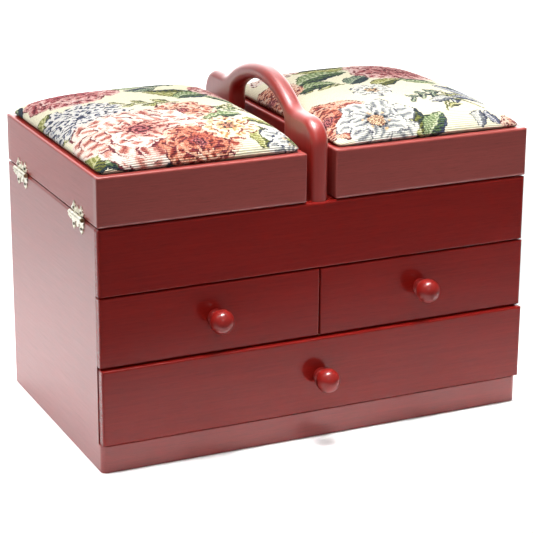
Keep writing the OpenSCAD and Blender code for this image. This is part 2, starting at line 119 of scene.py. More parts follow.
class Graph:
    """Builds the nodes of one material, each call giving back the socket it made."""

    def __init__(self, name: str) -> None:
        """Starts a material with a Principled shader and an output.

        Args:
            name: The material's name.
        """
        self.material = bpy.data.materials.new(name)
        self.material.use_nodes = True
        self.nodes = self.material.node_tree.nodes
        self.links = self.material.node_tree.links
        self.nodes.clear()
        self.shader = self.nodes.new("ShaderNodeBsdfPrincipled")
        output = self.nodes.new("ShaderNodeOutputMaterial")
        self.links.new(self.shader.outputs[0], output.inputs[0])

    def put(self, socket: Socket, value: object) -> None:
        """Links a socket to another one, or sets its own value.

        Args:
            socket: The input to fill.
            value: Another node's output, a colour of three numbers, or the input's own kind of value.
        """
        if isinstance(value, Socket):
            self.links.new(value, socket)
        elif isinstance(value, tuple) and len(value) == 3 and socket.type == "RGBA":
            socket.default_value = (*value, 1.0)
        else:
            socket.default_value = value

    def set(self, **inputs: object) -> None:
        """Fills inputs of the shader, named with underscores for spaces."""
        for name, value in inputs.items():
            self.put(self.shader.inputs[name.replace("_", " ")], value)

    def scaled(self, vector: Socket, stretch: Triple) -> Socket:
        """Multiplies coordinates axis by axis.

        Args:
            vector: The coordinates.
            stretch: The factor for each axis.

        Returns:
            The scaled coordinates.
        """
        mapping = self.nodes.new("ShaderNodeMapping")
        mapping.inputs["Scale"].default_value = stretch
        self.links.new(vector, mapping.inputs["Vector"])
        return mapping.outputs[0]

    def place(self, stretch: Triple = (1, 1, 1)) -> Socket:
        """Gives object coordinates, in metres, scaled."""
        return self.scaled(self.nodes.new("ShaderNodeTexCoord").outputs["Object"], stretch)

    def uv(self, stretch: Triple = (1, 1, 1)) -> Socket:
        """Gives the piece's own UV map, scaled."""
        return self.scaled(self.nodes.new("ShaderNodeUVMap").outputs[0], stretch)

    def noise(self, vector: Socket, scale: float, detail: float = 2.0, roughness: float = 0.5,
              distortion: float = 0.0) -> Socket:
        """Makes fractal noise.

        Args:
            vector: The coordinates it is laid on.
            scale: About how many features it has in a unit.
            detail: How many finer layers it has.
            roughness: How strong the finer layers are.
            distortion: How far its features are bent.

        Returns:
            A value from 0 to 1, about 0.5 on average.
        """
        node = self.nodes.new("ShaderNodeTexNoise")
        self.links.new(vector, node.inputs["Vector"])
        node.inputs["Scale"].default_value = scale
        node.inputs["Detail"].default_value = detail
        node.inputs["Roughness"].default_value = roughness
        node.inputs["Distortion"].default_value = distortion
        return node.outputs["Fac"]

    def wave(self, vector: Socket, scale: float, direction: str, distortion: float = 0.0) -> Socket:
        """Makes parallel bands.

        Args:
            vector: The coordinates they are laid on.
            scale: How dense they are, in the texture's own measure.
            direction: The axis that they follow one another along.
            distortion: How far they are bent.

        Returns:
            A value that swings between 0 and 1 as a sine.
        """
        node = self.nodes.new("ShaderNodeTexWave")
        node.bands_direction = direction
        self.links.new(vector, node.inputs["Vector"])
        node.inputs["Scale"].default_value = scale
        node.inputs["Distortion"].default_value = distortion
        return node.outputs["Fac"]

    def ramp(self, value: Socket, stops: list[tuple[float, Colour]]) -> Socket:
        """Turns a value into a colour.

        Args:
            value: The value, from 0 to 1.
            stops: The colours, each after the value that it stands at.

        Returns:
            The colour.
        """
        node = self.nodes.new("ShaderNodeValToRGB")
        elements = node.color_ramp.elements
        while len(elements) < len(stops):
            elements.new(0.5)
        for element, (place, colour) in zip(elements, stops):
            element.position = place
            element.color = (*colour, 1.0)
        self.links.new(value, node.inputs["Fac"])
        return node.outputs["Color"]

    def grey(self, level: Socket) -> Socket:
        """Gives a grey of one brightness in red, green and blue."""
        node = self.nodes.new("ShaderNodeCombineColor")
        for i in range(3):
            self.links.new(level, node.inputs[i])
        return node.outputs[0]

    def math(self, operation: str, a: object, b: object) -> Socket:
        """Does one arithmetic step.

        Args:
            operation: The step, such as "ADD" or "MULTIPLY".
            a: The first number or socket.
            b: The second number or socket.

        Returns:
            The result.
        """
        node = self.nodes.new("ShaderNodeMath")
        node.operation = operation
        self.put(node.inputs[0], a)
        self.put(node.inputs[1], b)
        return node.outputs[0]

    def total(self, *parts: tuple[Socket, float]) -> Socket:
        """Adds values up.

        Args:
            parts: The values, each with its weight.

        Returns:
            The sum.
        """
        running, *others = [self.math("MULTIPLY", value, weight) for value, weight in parts]
        for other in others:
            running = self.math("ADD", running, other)
        return running

    def span(self, value: Socket, low: float, high: float, to_low: float, to_high: float) -> Socket:
        """Maps one range of a value onto another.

        Args:
            value: The value.
            low: Where the range begins.
            high: Where the range ends.
            to_low: What its beginning turns into.
            to_high: What its end turns into.

        Returns:
            The mapped value, which stays between the two results.
        """
        node = self.nodes.new("ShaderNodeMapRange")
        self.links.new(value, node.inputs[0])
        for i, number in enumerate((low, high, to_low, to_high), start=1):
            node.inputs[i].default_value = number
        return node.outputs[0]

    def mix(self, share: object, a: object, b: object, blend: str = "MIX") -> Socket:
        """Mixes two colours.

        Args:
            share: How much the second colour counts, from 0 to 1.
            a: The first colour or socket.
            b: The second colour or socket.
            blend: The way they are mixed, such as "MULTIPLY".

        Returns:
            The mixed colour.
        """
        node = self.nodes.new("ShaderNodeMix")
        node.data_type = "RGBA"
        node.blend_type = blend
        sockets = {s.identifier: s for s in node.inputs}
        self.put(sockets["Factor_Float"], share)
        self.put(sockets["A_Color"], a)
        self.put(sockets["B_Color"], b)
        return {s.identifier: s for s in node.outputs}["Result_Color"]

    def bump(self, height: Socket, distance: float) -> Socket:
        """Bends the surface's normal by a relief.

        Args:
            height: The relief, from 0 to 1.
            distance: How high 1 is, in metres.

        Returns:
            The bent normal.
        """
        node = self.nodes.new("ShaderNodeBump")
        node.inputs["Strength"].default_value = 1.0
        node.inputs["Distance"].default_value = distance
        self.links.new(height, node.inputs["Height"])
        return node.outputs[0]

    def attribute(self, name: str) -> Socket:
        """Gives a colour that is stored on the mesh."""
        node = self.nodes.new("ShaderNodeAttribute")
        node.attribute_name = name
        return node.outputs["Color"]


@dataclass(frozen=True)
class StainedWood:
    """Red mahogany stain under lacquer, with the pores of the wood just showing.

    The figure, the streaks and the pores have so many features a metre along and across the grain.
    """

    name: str
    grain: Grain
    dark: Colour = srgb("77110c")
    light: Colour = srgb("881811")
    roughness: float = 0.36
    unevenness: float = 0.02
    coat: float = 0.4
    coat_roughness: float = 0.13
    relief: float = 0.04 * MM
    specular: float = 0.5
    figure: Point = (4, 90)
    streaks: Point = (22, 700)
    pores: Point = (90, 2600)
    pore_shade: float = 0.78

    def make(self) -> bpy.types.Material:
        """Builds the material.

        Returns:
            The finished material.
        """
        g = Graph(self.name)
        figure = g.noise(g.place(self.grain.stretch(self.figure)), 1.0, 3.0, 0.55, 0.3)
        streaks = g.noise(g.place(self.grain.stretch(self.streaks)), 1.0, 3.0, 0.6)
        pores = g.noise(g.place(self.grain.stretch(self.pores)), 1.0)
        stain = g.ramp(g.total((figure, 0.35), (streaks, 0.65)), [(0.3, self.dark), (0.7, self.light)])
        open_pores = g.span(pores, 0.33, 0.43, self.pore_shade, 1.0)
        rough, smooth = self.roughness + self.unevenness, self.roughness - self.unevenness
        g.set(Base_Color=g.mix(1.0, stain, g.grey(open_pores), "MULTIPLY"),
              Roughness=g.span(streaks, 0.3, 0.7, rough, smooth),
              Normal=g.bump(g.total((streaks, 0.7), (open_pores, 0.5)), self.relief),
              Coat_Weight=self.coat, Coat_Roughness=self.coat_roughness,
              Specular_IOR_Level=self.specular)
        return g.material


@dataclass(frozen=True)
class BareWood:
    """Pale sanded wood, as the hidden boards are.

    The rings and the pores have so many features a metre along and across the grain.
    """

    name: str
    grain: Grain
    dark: Colour = srgb("b98a5a")
    light: Colour = srgb("dcb98a")
    roughness: float = 0.6
    relief: float = 0.12 * MM
    rings: Point = (2.5, 60)
    pores: Point = (25, 600)

    def make(self) -> bpy.types.Material:
        """Builds the material.

        Returns:
            The finished material.
        """
        g = Graph(self.name)
        rings = g.noise(g.place(self.grain.stretch(self.rings)), 1.0, 4.0, 0.55, 1.2)
        pores = g.noise(g.place(self.grain.stretch(self.pores)), 1.0, 3.0, 0.6)
        tone = g.total((rings, 0.7), (pores, 0.3))
        g.set(Base_Color=g.ramp(tone, [(0.32, self.dark), (0.68, self.light)]),
              Roughness=self.roughness, Normal=g.bump(pores, self.relief))
        return g.material


@dataclass(frozen=True)
class Metal:
    """A plated or bare metal, a little uneven."""

    name: str
    colour: Colour
    shade: Colour
    roughness: float = 0.3
    relief: float = 0.04 * MM

    def make(self) -> bpy.types.Material:
        """Builds the material.

        Returns:
            The finished material.
        """
        g = Graph(self.name)
        cloud = g.noise(g.place(), 260.0, 3.0, 0.6)
        g.set(Base_Color=g.ramp(cloud, [(0.35, self.shade), (0.6, self.colour)]), Metallic=1.0,
              Roughness=g.span(cloud, 0.3, 0.7, self.roughness + 0.08, self.roughness - 0.04),
              Normal=g.bump(g.noise(g.place(), 900.0), self.relief))
        return g.material


@dataclass(frozen=True)
class TapestryCloth:
    """Corded jacquard: the motif from the mesh, the cords and threads from the UV map, with painted shade
    in the grooves.

    One unit of U is a millimetre of cloth, and one unit of V is a cord.
    """

    name: str
    thread: float = 1.1
    roughness: float = 0.9
    relief: float = 0.18 * MM

    def make(self) -> bpy.types.Material:
        """Builds the material.

        Returns:
            The finished material.
        """
        g = Graph(self.name)
        # A wave texture of scale s has s * 20 / (2 pi) bands in a unit.
        bands = 2 * math.pi / 20
        cords = g.wave(g.uv(), bands, "Y")
        threads = g.wave(g.uv(), bands / self.thread, "X", 0.6)
        fibre = g.noise(g.uv((0.7, 3.0, 1)), 1.6)
        # Painted shade: the colour darkens in the grooves between the cords and in the gaps between the
        # threads. The fibre noise is the yarn's own uneven tone.
        groove_painted_shade = g.span(cords, 0.0, 0.5, 0.5, 1.0)
        level = g.math("MULTIPLY", groove_painted_shade, g.span(fibre, 0.3, 0.7, 0.84, 1.08))
        level = g.math("MULTIPLY", level, g.span(threads, 0.0, 0.4, 0.88, 1.0))
        height = g.total((cords, 1.0), (threads, 0.4), (fibre, 0.5))
        g.set(Base_Color=g.mix(1.0, g.attribute("motif"), g.grey(level), "MULTIPLY"),
              Roughness=self.roughness, Normal=g.bump(height, self.relief), Specular_IOR_Level=0.2,
              Sheen_Weight=0.1, Sheen_Roughness=0.5)
        return g.material


@dataclass(frozen=True)
class StudioFloor:
    """Plain white paper with painted shade: it turns grey beyond a slanting edge well in front of the box,
    standing in for floor that the lights don't reach.
    """

    name: str
    colour: Colour = (0.88, 0.88, 0.88)
    painted_shade_colour: Colour = (0.42, 0.42, 0.42)
    edge: float = -345 * MM
    edge_width: float = 80 * MM
    edge_slant: float = 0.35

    def make(self) -> bpy.types.Material:
        """Builds the material.

        Returns:
            The finished material.
        """
        g = Graph(self.name)
        grit = g.noise(g.place(), 8.0)
        soft = tuple(c * 0.985 for c in self.colour)
        paper = g.ramp(grit, [(0.4, soft), (0.6, self.colour)])
        split = g.nodes.new("ShaderNodeSeparateXYZ")
        g.links.new(g.place(), split.inputs[0])
        # Painted shade: the paper's colour turns grey beyond the slanting edge.
        ahead = g.total((split.outputs["Y"], 1.0), (split.outputs["X"], self.edge_slant))
        dark = g.span(ahead, self.edge - self.edge_width, self.edge, 1.0, 0.0)
        g.set(Base_Color=g.mix(dark, paper, self.painted_shade_colour), Roughness=0.9, Specular_IOR_Level=0.0)
        return g.material


# ---- Mesh helpers --------------------------------------------------------


def new_piece(name: str, bm: bmesh.types.BMesh) -> bpy.types.Object:
    """Turns a finished bmesh into a smooth object at the origin.

    Args:
        name: The piece's name.
        bm: The shape in the row's frame, in metres. It is freed.

    Returns:
        The new object, linked to the scene.
    """
    mesh = bpy.data.meshes.new(name)
    for face in bm.faces:
        face.smooth = True
    bm.to_mesh(mesh)
    bm.free()
    piece = bpy.data.objects.new(name, mesh)
    bpy.context.scene.collection.objects.link(piece)
    return piece


def dress(piece: bpy.types.Object, material: bpy.types.Material) -> None:
    """Gives every face of a piece one material.

    Args:
        piece: The piece, with or without materials.
        material: The new material.
    """
    if piece.data.materials:
        for i in range(len(piece.data.materials)):
            piece.data.materials[i] = material
    else:
        piece.data.materials.append(material)


def arc(centre: Point, radius: float, start: float, end: float, steps: int) -> list[Point]:
    """Gives points along a circle's arc, both ends included.

    Args:
        centre: The circle's centre.
        radius: The circle's radius.
        start: The angle of the first point, in degrees.
        end: The angle of the last point, in degrees.
        steps: How many straight steps the arc has.

    Returns:
        The points in order.
    """
    angles = np.radians(np.linspace(start, end, steps + 1))
    return [(centre[0] + radius * math.cos(a), centre[1] + radius * math.sin(a)) for a in angles]


# ---- Tapestry ------------------------------------------------------------


class Yarn(Enum):
    """The rows of yarn that the motifs are woven in."""

    PINK = "pink"
    MAROON = "maroon"
    RUST = "rust"
    SLATE = "slate"
    GREY = "grey"
    OLIVE = "olive"
    GREEN = "green"
    TEAL = "teal"
    PEACH = "peach"


YARN_DEPTH = 0.74


def tones(*texts: str) -> np.ndarray:
    """Gives a row of yarn colours, darkest first, as linear light."""
    return YARN_DEPTH * np.array([srgb(t) for t in texts])


YARNS = {
    Yarn.PINK: tones("7c2c2c", "ae584e", "d08c7c", "e6b4a4", "f3d8ca", "f8ecdf"),
    Yarn.MAROON: tones("4a0f1e", "7c2230", "a0404a", "bf6a6c", "dba09a", "efcfc6"),
    Yarn.RUST: tones("561418", "862622", "b04a38", "cd785c", "e4aa8c", "f4d8c2"),
    Yarn.SLATE: tones("1c2238", "3a4260", "666d86", "9497a6", "c4c5ca", "ece8e0"),
    Yarn.GREY: tones("34384a", "787b82", "a4a6a4", "c8c8c0", "e0ded4", "f2efe4"),
    Yarn.OLIVE: tones("2f3416", "565a20", "7a7c34", "9a9b50", "bdbb7a", "dedaac"),
    Yarn.GREEN: tones("1e3020", "3c5436", "5f7848", "869a66", "b0bc90", "d8dcba"),
    Yarn.TEAL: tones("101c2a", "223440", "40564f", "6a7d68", "96a588", "c2c9a8"),
    Yarn.PEACH: tones("80401e", "bb7038", "d99c5e", "eabf8c", "f3d9b0", "f8ead0"),
}
GROUND = tones("f7f0d2")[0]


@dataclass(frozen=True)
class Ring:
    """One ring of a flower's petals, measured in the flower's radius, with its tones from 0 to 1."""

    out: float
    count: int
    length: float
    width: float
    low: float
    high: float


ROSE_RINGS = (
    Ring(0.66, 8, 0.72, 0.80, 0.34, 0.80),
    Ring(0.52, 7, 0.66, 0.70, 0.26, 0.78),
    Ring(0.37, 6, 0.56, 0.60, 0.18, 0.72),
    Ring(0.24, 5, 0.42, 0.46, 0.12, 0.66),
    Ring(0.12, 3, 0.30, 0.34, 0.06, 0.55),
)
DAHLIA_RINGS = tuple(Ring(out, count, 0.44, 0.22, 0.0, 0.8)
                     for out, count in ((0.78, 17), (0.62, 15), (0.46, 12), (0.30, 9), (0.13, 6)))
ANEMONE_RINGS = (
    Ring(0.55, 7, 0.9, 0.9 * 0.85, 0.12, 0.74),
    Ring(0.34, 5, 0.66, 0.66 * 0.85, 0.12, 0.74),
)


class Cloth:
    """The woven picture: a colour for each stitch, painted motif by motif, in millimetres of cloth."""

    STITCH_U = 0.9
    STITCH_V = 1.1
    FLECK = 0.09
    GROUND_FLECK = 0.035

    def __init__(self, u: np.ndarray, v: np.ndarray, seed: int) -> None:
        """Lays out the ground.

        Args:
            u: How far right of the cushion's middle each stitch is, in millimetres.
            v: How far behind the middle each stitch is, in millimetres.
            seed: Picks the small irregularities.
        """
        u = np.round(u / self.STITCH_U) * self.STITCH_U
        v = np.round(v / self.STITCH_V) * self.STITCH_V
        self.u = u + 0.9 * np.sin(v * 0.31) + 0.5 * np.sin(v * 0.9 + u * 0.2)
        self.v = v + 0.9 * np.sin(u * 0.27) + 0.5 * np.sin(u * 0.8 - v * 0.3)
        self.random = np.random.default_rng(seed)
        self.fleck = np.random.default_rng(seed + 1).normal(0.0, 1.0, u.shape)
        self.rgb = np.tile(GROUND, (u.size, 1)) * (1 + self.GROUND_FLECK * self.fleck[:, None])

    def near(self, x: float, y: float, reach: float) -> np.ndarray:
        """Gives the stitches inside a circle."""
        return np.nonzero((self.u - x) ** 2 + (self.v - y) ** 2 < reach ** 2)[0]

    def local(self, index: np.ndarray, x: float, y: float, turn: float) -> tuple[np.ndarray, np.ndarray]:
        """Measures stitches in a motif's own frame.

        Args:
            index: The stitches.
            x: How far right of the cushion's middle the motif is.
            y: How far behind the middle it is.
            turn: The direction of the frame's first axis, in degrees.

        Returns:
            How far along the first axis each stitch is, and how far across it.
        """
        c, s = math.cos(math.radians(turn)), math.sin(math.radians(turn))
        du, dv = self.u[index] - x, self.v[index] - y
        return du * c + dv * s, dv * c - du * s

    def around(self, turn: float, count: int, twist: float, jitter: float) -> Iterator[float]:
        """Spaces the petals of a ring, a little unevenly.

        Args:
            turn: The flower's own direction, in degrees.
            count: How many petals the ring has.
            twist: How far the ring is turned against the flower.
            jitter: How far a petal may stray to either side.

        Yields:
            The direction of each petal in degrees.
        """
        for k in range(count):
            yield turn + 360 * k / count + twist + self.random.uniform(-jitter, jitter)

    def weave(self, index: np.ndarray, tone: np.ndarray, yarn: Yarn) -> None:
        """Colours stitches, one yarn to a stitch.

        Args:
            index: The stitches.
            tone: How light each one is, from 0 for the darkest yarn to 1 for the lightest.
            yarn: The row that the yarns are taken from.
        """
        row = YARNS[yarn]
        step = np.clip(tone + self.FLECK * self.fleck[index], 0, 0.999) * len(row)
        self.rgb[index] = row[step.astype(int)]

    def fill(self, index: np.ndarray, tone: float, yarn: Yarn) -> None:
        """Colours stitches in one tone."""
        self.weave(index, np.full(index.size, tone), yarn)

    def leaf(self, x: float, y: float, length: float, width: float, turn: float,
             yarn: Yarn, shadow: Yarn = Yarn.TEAL) -> None:
        """Paints a pointed leaf: a light midrib, side veins, a lit half and a shadowed half.

        Args:
            x: How far right of the cushion's middle it is.
            y: How far behind the middle it is.
            length: Its length from stalk to tip.
            width: Its width.
            turn: The way its tip points, in degrees.
            yarn: Its own yarns.
            shadow: The yarns of its shadowed half.
        """
        index = self.near(x, y, length * 0.62)
        along, across = self.local(index, x, y, turn)
        t = along / (length / 2)
        across = across - 0.1 * length * (0.5 - t ** 2)
        teeth = 1 + 0.09 * np.abs(((t * 5 + 10) % 1) - 0.5)
        edge = width / 2 * np.clip(1 - np.abs(t + 0.1) ** 1.8, 0, 1) ** 0.8 * teeth
        inside = (np.abs(t) < 1) & (np.abs(across) < edge)
        index, t, across, edge = index[inside], t[inside], across[inside], edge[inside]
        depth = np.abs(across) / np.maximum(edge, 0.1)
        veins = np.sin((t * 5 - depth * 1.5) * 2 * math.pi)
        tone = 0.5 + 0.18 * np.sign(across) + 0.17 * veins - 0.12 * depth
        tone = np.where(edge - np.abs(across) < 1.1, 0.05, tone)
        self.weave(index, tone, yarn)
        self.fill(index[(across < 0) & ((depth > 0.72) | (veins < -0.75))], 0.2, shadow)
        self.fill(index[np.abs(across) < 0.6], 0.92, yarn)

    def petal(self, x: float, y: float, length: float, width: float, turn: float, yarn: Yarn,
              low: float, high: float, rim: Yarn, ruffle: float = 0.06) -> None:
        """Paints a petal, dark at its foot and pale at its lip, streaked, with an uneven rim.

        Args:
            x: How far right of the cushion's middle it is.
            y: How far behind the middle it is.
            length: Its length from foot to lip.
            width: Its width.
            turn: The way its lip points, in degrees.
            yarn: Its own yarns.
            low: The tone at its foot.
            high: The tone at its lip.
            rim: The yarns of its dark rim.
            ruffle: How uneven its outline is.
        """
        index = self.near(x, y, max(length, width) * 0.6)
        along, across = self.local(index, x, y, turn)
        t, w = along / (length / 2), across / (width / 2)
        angle = np.arctan2(w, t)
        wobble = 1 + ruffle * np.sin(angle * 4 + turn) + ruffle * 0.6 * np.sin(angle * 7 - turn)
        reach = np.sqrt(t ** 2 + w ** 2) / wobble
        inside = reach < 1
        index, t, w, reach = index[inside], t[inside], w[inside], reach[inside]
        rise = np.clip((t + 1) / 2, 0, 1)
        streaks = np.sin(w * 11 + 2.2 * np.sin(t * 2.1 + turn) + turn)
        tone = low + (high - low) * rise ** 0.8 + 0.27 * streaks * (0.4 + rise)
        margin = (1 - reach) * min(length, width) / 2
        tone = np.where((margin < 3.2) & (rise > 0.35), high + 0.16, tone)
        self.weave(index, tone, yarn)
        self.fill(index[margin < 0.5 + 1.3 * np.sin(angle[inside] * 3 + turn)], 0.2, rim)

    def rose(self, x: float, y: float, radius: float, turn: float, yarn: Yarn, rim: Yarn,
             depth: float = 0.0) -> None:
        """Paints a full-blown rose: rings of lapping petals round a curled heart.

        Args:
            x: How far right of the cushion's middle it is.
            y: How far behind the middle it is.
            radius: Its radius.
            turn: The direction of its first petal, in degrees.
            yarn: Its petals' yarns.
            rim: The yarns of the petals' rims and of its heart.
            depth: How much darker than usual it is.
        """
        for number, ring in enumerate(ROSE_RINGS):
            for angle in self.around(turn, ring.count, 31 * number, 11):
                reach = radius * ring.out * self.random.uniform(0.9, 1.1)
                a = math.radians(angle)
                self.petal(x + reach * math.cos(a), y + reach * math.sin(a) * 0.88,
                           radius * ring.length * self.random.uniform(0.88, 1.12),
                           radius * ring.width * self.random.uniform(0.88, 1.2),
                           angle + self.random.uniform(-22, 22), yarn,
                           ring.low - depth, ring.high - depth + self.random.uniform(-0.16, 0.16), rim)
        heart = radius * 0.17
        index = self.near(x, y, heart)
        along, across = self.local(index, x, y, turn)
        spiral = np.hypot(along, across) / heart - np.arctan2(across, along) / (2 * math.pi)
        self.weave(index, 0.08 + 0.5 * (np.sin(spiral * 4 * math.pi) > 0.2), rim)

    def dahlia(self, x: float, y: float, radius: float, turn: float, yarn: Yarn) -> None:
        """Paints a many-petalled flower with narrow dark-edged petals.

        Args:
            x: How far right of the cushion's middle it is.
            y: How far behind the middle it is.
            radius: Its radius.
            turn: The direction of its first petal, in degrees.
            yarn: Its yarns.
        """
        for number, ring in enumerate(DAHLIA_RINGS):
            for angle in self.around(turn, ring.count, 17 * number, 7):
                a = math.radians(angle)
                self.petal(x + radius * ring.out * math.cos(a), y + radius * ring.out * math.sin(a) * 0.9,
                           radius * ring.length, radius * (ring.width + self.random.uniform(-0.05, 0.05)),
                           angle + self.random.uniform(-25, 25), yarn, ring.low, ring.high, yarn, 0.02)

    def anemone(self, x: float, y: float, radius: float, turn: float, yarn: Yarn,
                rim: Yarn = Yarn.SLATE, eye: Yarn = Yarn.OLIVE) -> None:
        """Paints a flower of broad petals in two rows round a dotted eye.

        Args:
            x: How far right of the cushion's middle it is.
            y: How far behind the middle it is.
            radius: Its radius.
            turn: The direction of its first petal, in degrees.
            yarn: Its petals' yarns.
            rim: The yarns of the petals' rims.
            eye: The yarns of its eye.
        """
        for number, ring in enumerate(ANEMONE_RINGS):
            for angle in self.around(turn, ring.count, 26 * number, 9):
                a = math.radians(angle)
                self.petal(x + radius * ring.out * math.cos(a), y + radius * ring.out * math.sin(a) * 0.9,
                           radius * ring.length, radius * ring.width, angle, yarn,
                           ring.low, ring.high, rim, 0.08)
        index = self.near(x, y, radius * 0.2)
        self.weave(index, 0.35 + 0.3 * np.sign(self.fleck[index]), eye)
        for k in range(12):
            a = math.radians(turn + 30 * k)
            pale = k % 2
            out = radius * (0.22 + 0.08 * pale)
            dot = self.near(x + out * math.cos(a), y + out * math.sin(a), 1.5)
            self.fill(dot, 0.6 * pale, Yarn.PEACH if pale else Yarn.TEAL)

    def stem(self, start: Point, end: Point, sag: float, yarn: Yarn) -> None:
        """Paints a bowed stem.

        Args:
            start: One of its ends.
            end: The other end.
            sag: How far its middle stands off the straight line.
            yarn: Its yarns.
        """
        middle = ((start[0] + end[0]) / 2, (start[1] + end[1]) / 2)
        length = math.hypot(end[0] - start[0], end[1] - start[1])
        turn = math.degrees(math.atan2(end[1] - start[1], end[0] - start[0]))
        index = self.near(*middle, length * 0.6)
        along, across = self.local(index, *middle, turn)
        t = along / (length / 2)
        self.fill(index[(np.abs(t) < 1) & (np.abs(across - sag * (1 - t ** 2)) < 1.1)], 0.3, yarn)

    def spray(self, x: float, y: float, reach: float, turn: float, yarn: Yarn,
              leaves: int, bud: Yarn | None = None) -> None:
        """Paints a stem with small leaves on both sides, and perhaps a bud at its tip.

        Args:
            x: How far right of the cushion's middle its foot is.
            y: How far behind the middle its foot is.
            reach: Its length.
            turn: The way it points, in degrees.
            yarn: The yarns of its stem and leaves.
            leaves: How many leaves it has.
            bud: The yarns of its bud, if it has one.
        """
        a = math.radians(turn)
        tip = (x + reach * math.cos(a), y + reach * math.sin(a))
        self.stem((x, y), tip, reach * 0.08, yarn)
        for k in range(leaves):
            t = (k + 1) / leaves
            side = 42 if k % 2 else -42
            b = math.radians(turn + side)
            size = reach * 0.4 * (1.15 - 0.4 * t)
            self.leaf(x + t * (tip[0] - x) + size * 0.45 * math.cos(b),
                      y + t * (tip[1] - y) + size * 0.45 * math.sin(b),
                      size, size * 0.46, turn + side, yarn)
        if bud is not None:
            self.petal(*tip, reach * 0.24, reach * 0.16, turn, bud, 0.2, 0.7, bud)
            self.petal(tip[0], tip[1] + 1, reach * 0.16, reach * 0.1, turn + 20, bud, 0.1, 0.6, bud)


# Sprays: place right of and behind the middle, length, direction, yarns, leaves and perhaps a bud.
LEFT_SPRAYS = (
    (30, -34, 46, 10, Yarn.GREEN, 6, Yarn.MAROON),
    (28, 4, 50, 168, Yarn.OLIVE, 5),
    (54, -22, 34, 30, Yarn.OLIVE, 4, Yarn.MAROON),
    (64, 84, 34, 200, Yarn.GREEN, 4),
)
RIGHT_SPRAYS = (
    (44, -50, 40, 200, Yarn.TEAL, 6),
    (64, -14, 40, 290, Yarn.GREEN, 5, Yarn.SLATE),
    (-30, -6, 44, 160, Yarn.OLIVE, 6, Yarn.RUST),
    (86, 66, 34, 230, Yarn.GREEN, 5),
)
# Leaves: place, length, width, direction, yarns and perhaps the yarns of the shadowed half.
LEFT_LEAVES = (
    (-92, 24, 46, 30, 62, Yarn.OLIVE),
    (-94, -14, 34, 18, 100, Yarn.OLIVE),
    (-96, 92, 30, 18, 60, Yarn.TEAL, Yarn.SLATE),
    (36, 86, 50, 30, 12, Yarn.GREEN),
    (2, 84, 42, 22, 165, Yarn.GREEN, Yarn.SLATE),
    (12, 62, 34, 18, 190, Yarn.TEAL, Yarn.SLATE),
    (34, 40, 56, 28, 158, Yarn.OLIVE),
    (50, 26, 44, 24, 15, Yarn.GREEN, Yarn.SLATE),
    (74, 10, 38, 20, -35, Yarn.GREEN),
    (98, 14, 30, 16, 70, Yarn.OLIVE),
    (-86, -98, 56, 34, 30, Yarn.OLIVE),
    (-58, -110, 50, 28, -14, Yarn.GREEN),
    (-26, -110, 40, 26, 70, Yarn.TEAL, Yarn.SLATE),
    (46, -50, 44, 20, 16, Yarn.GREEN),
    (74, -68, 38, 18, -18, Yarn.OLIVE),
    (60, -96, 34, 18, 80, Yarn.OLIVE),
    (92, -40, 30, 14, 60, Yarn.GREEN),
)
RIGHT_LEAVES = (
    (-6, 86, 84, 36, 6, Yarn.GREEN),
    (40, 94, 52, 24, -14, Yarn.TEAL, Yarn.SLATE),
    (-20, 62, 76, 26, 172, Yarn.OLIVE, Yarn.SLATE),
    (-34, 34, 58, 32, 12, Yarn.GREEN),
    (-54, 8, 46, 22, -8, Yarn.GREEN),
    (-12, 4, 40, 22, 34, Yarn.TEAL),
    (8, -14, 40, 22, 26, Yarn.OLIVE),
    (38, -12, 38, 20, 160, Yarn.GREEN),
    (76, 30, 42, 20, 62, Yarn.GREEN),
    (64, -40, 52, 22, 150, Yarn.SLATE, Yarn.SLATE),
    (84, -56, 40, 18, 100, Yarn.TEAL, Yarn.SLATE),
    (50, -64, 34, 14, 60, Yarn.SLATE, Yarn.SLATE),
    (-10, -100, 54, 30, 100, Yarn.OLIVE),
    (8, -108, 40, 22, 50, Yarn.GREEN, Yarn.SLATE),
    (-26, -112, 36, 20, 140, Yarn.TEAL),
    (-98, -40, 40, 22, 80, Yarn.GREEN),
)
RIGHT_FRONT_LEAVES = (
    (34, -70, 30, 13, 12, Yarn.GREY, Yarn.SLATE),
    (64, -66, 32, 14, -20, Yarn.SLATE, Yarn.SLATE),
    (54, -102, 26, 14, 70, Yarn.GREY, Yarn.SLATE),
    (66, -102, 24, 12, 98, Yarn.SLATE, Yarn.SLATE),
)
# Roses: place, radius, direction, yarns, the yarns of the rims and perhaps a depth.
LEFT_ROSES = (
    (-48, 76, 42, 20, Yarn.MAROON, Yarn.MAROON, 0.12),
    (84, 46, 31, 70, Yarn.MAROON, Yarn.MAROON, 0.12),
    (18, -26, 30, 110, Yarn.RUST, Yarn.MAROON),
    (-36, -64, 62, 0, Yarn.PINK, Yarn.MAROON, 0.06),
    (4, -98, 34, 40, Yarn.RUST, Yarn.MAROON, 0.2),
)
RIGHT_ROSES = (
    (-92, 26, 32, 0, Yarn.RUST, Yarn.MAROON, 0.1),
    (-60, 84, 26, 60, Yarn.PINK, Yarn.MAROON),
    (36, 34, 46, 15, Yarn.MAROON, Yarn.MAROON, 0.12),
    (-82, -72, 40, 50, Yarn.RUST, Yarn.MAROON, 0.14),
)


def paint_left(cloth: Cloth) -> None:
    """Paints the left posy: a pink rose in front, a slate dahlia and a maroon rose behind.

    Args:
        cloth: The left cushion's cloth.
    """
    for spray in LEFT_SPRAYS:
        cloth.spray(*spray)
    for leaf in LEFT_LEAVES:
        cloth.leaf(*leaf)
    cloth.stem((20, -20), (88, -44), 8, Yarn.OLIVE)
    cloth.anemone(88, -104, 30, 10, Yarn.GREY)
    cloth.dahlia(-64, -2, 45, 0, Yarn.SLATE)
    for rose in LEFT_ROSES:
        cloth.rose(*rose)
    cloth.anemone(38, -78, 25, 30, Yarn.PEACH, Yarn.RUST, Yarn.RUST)


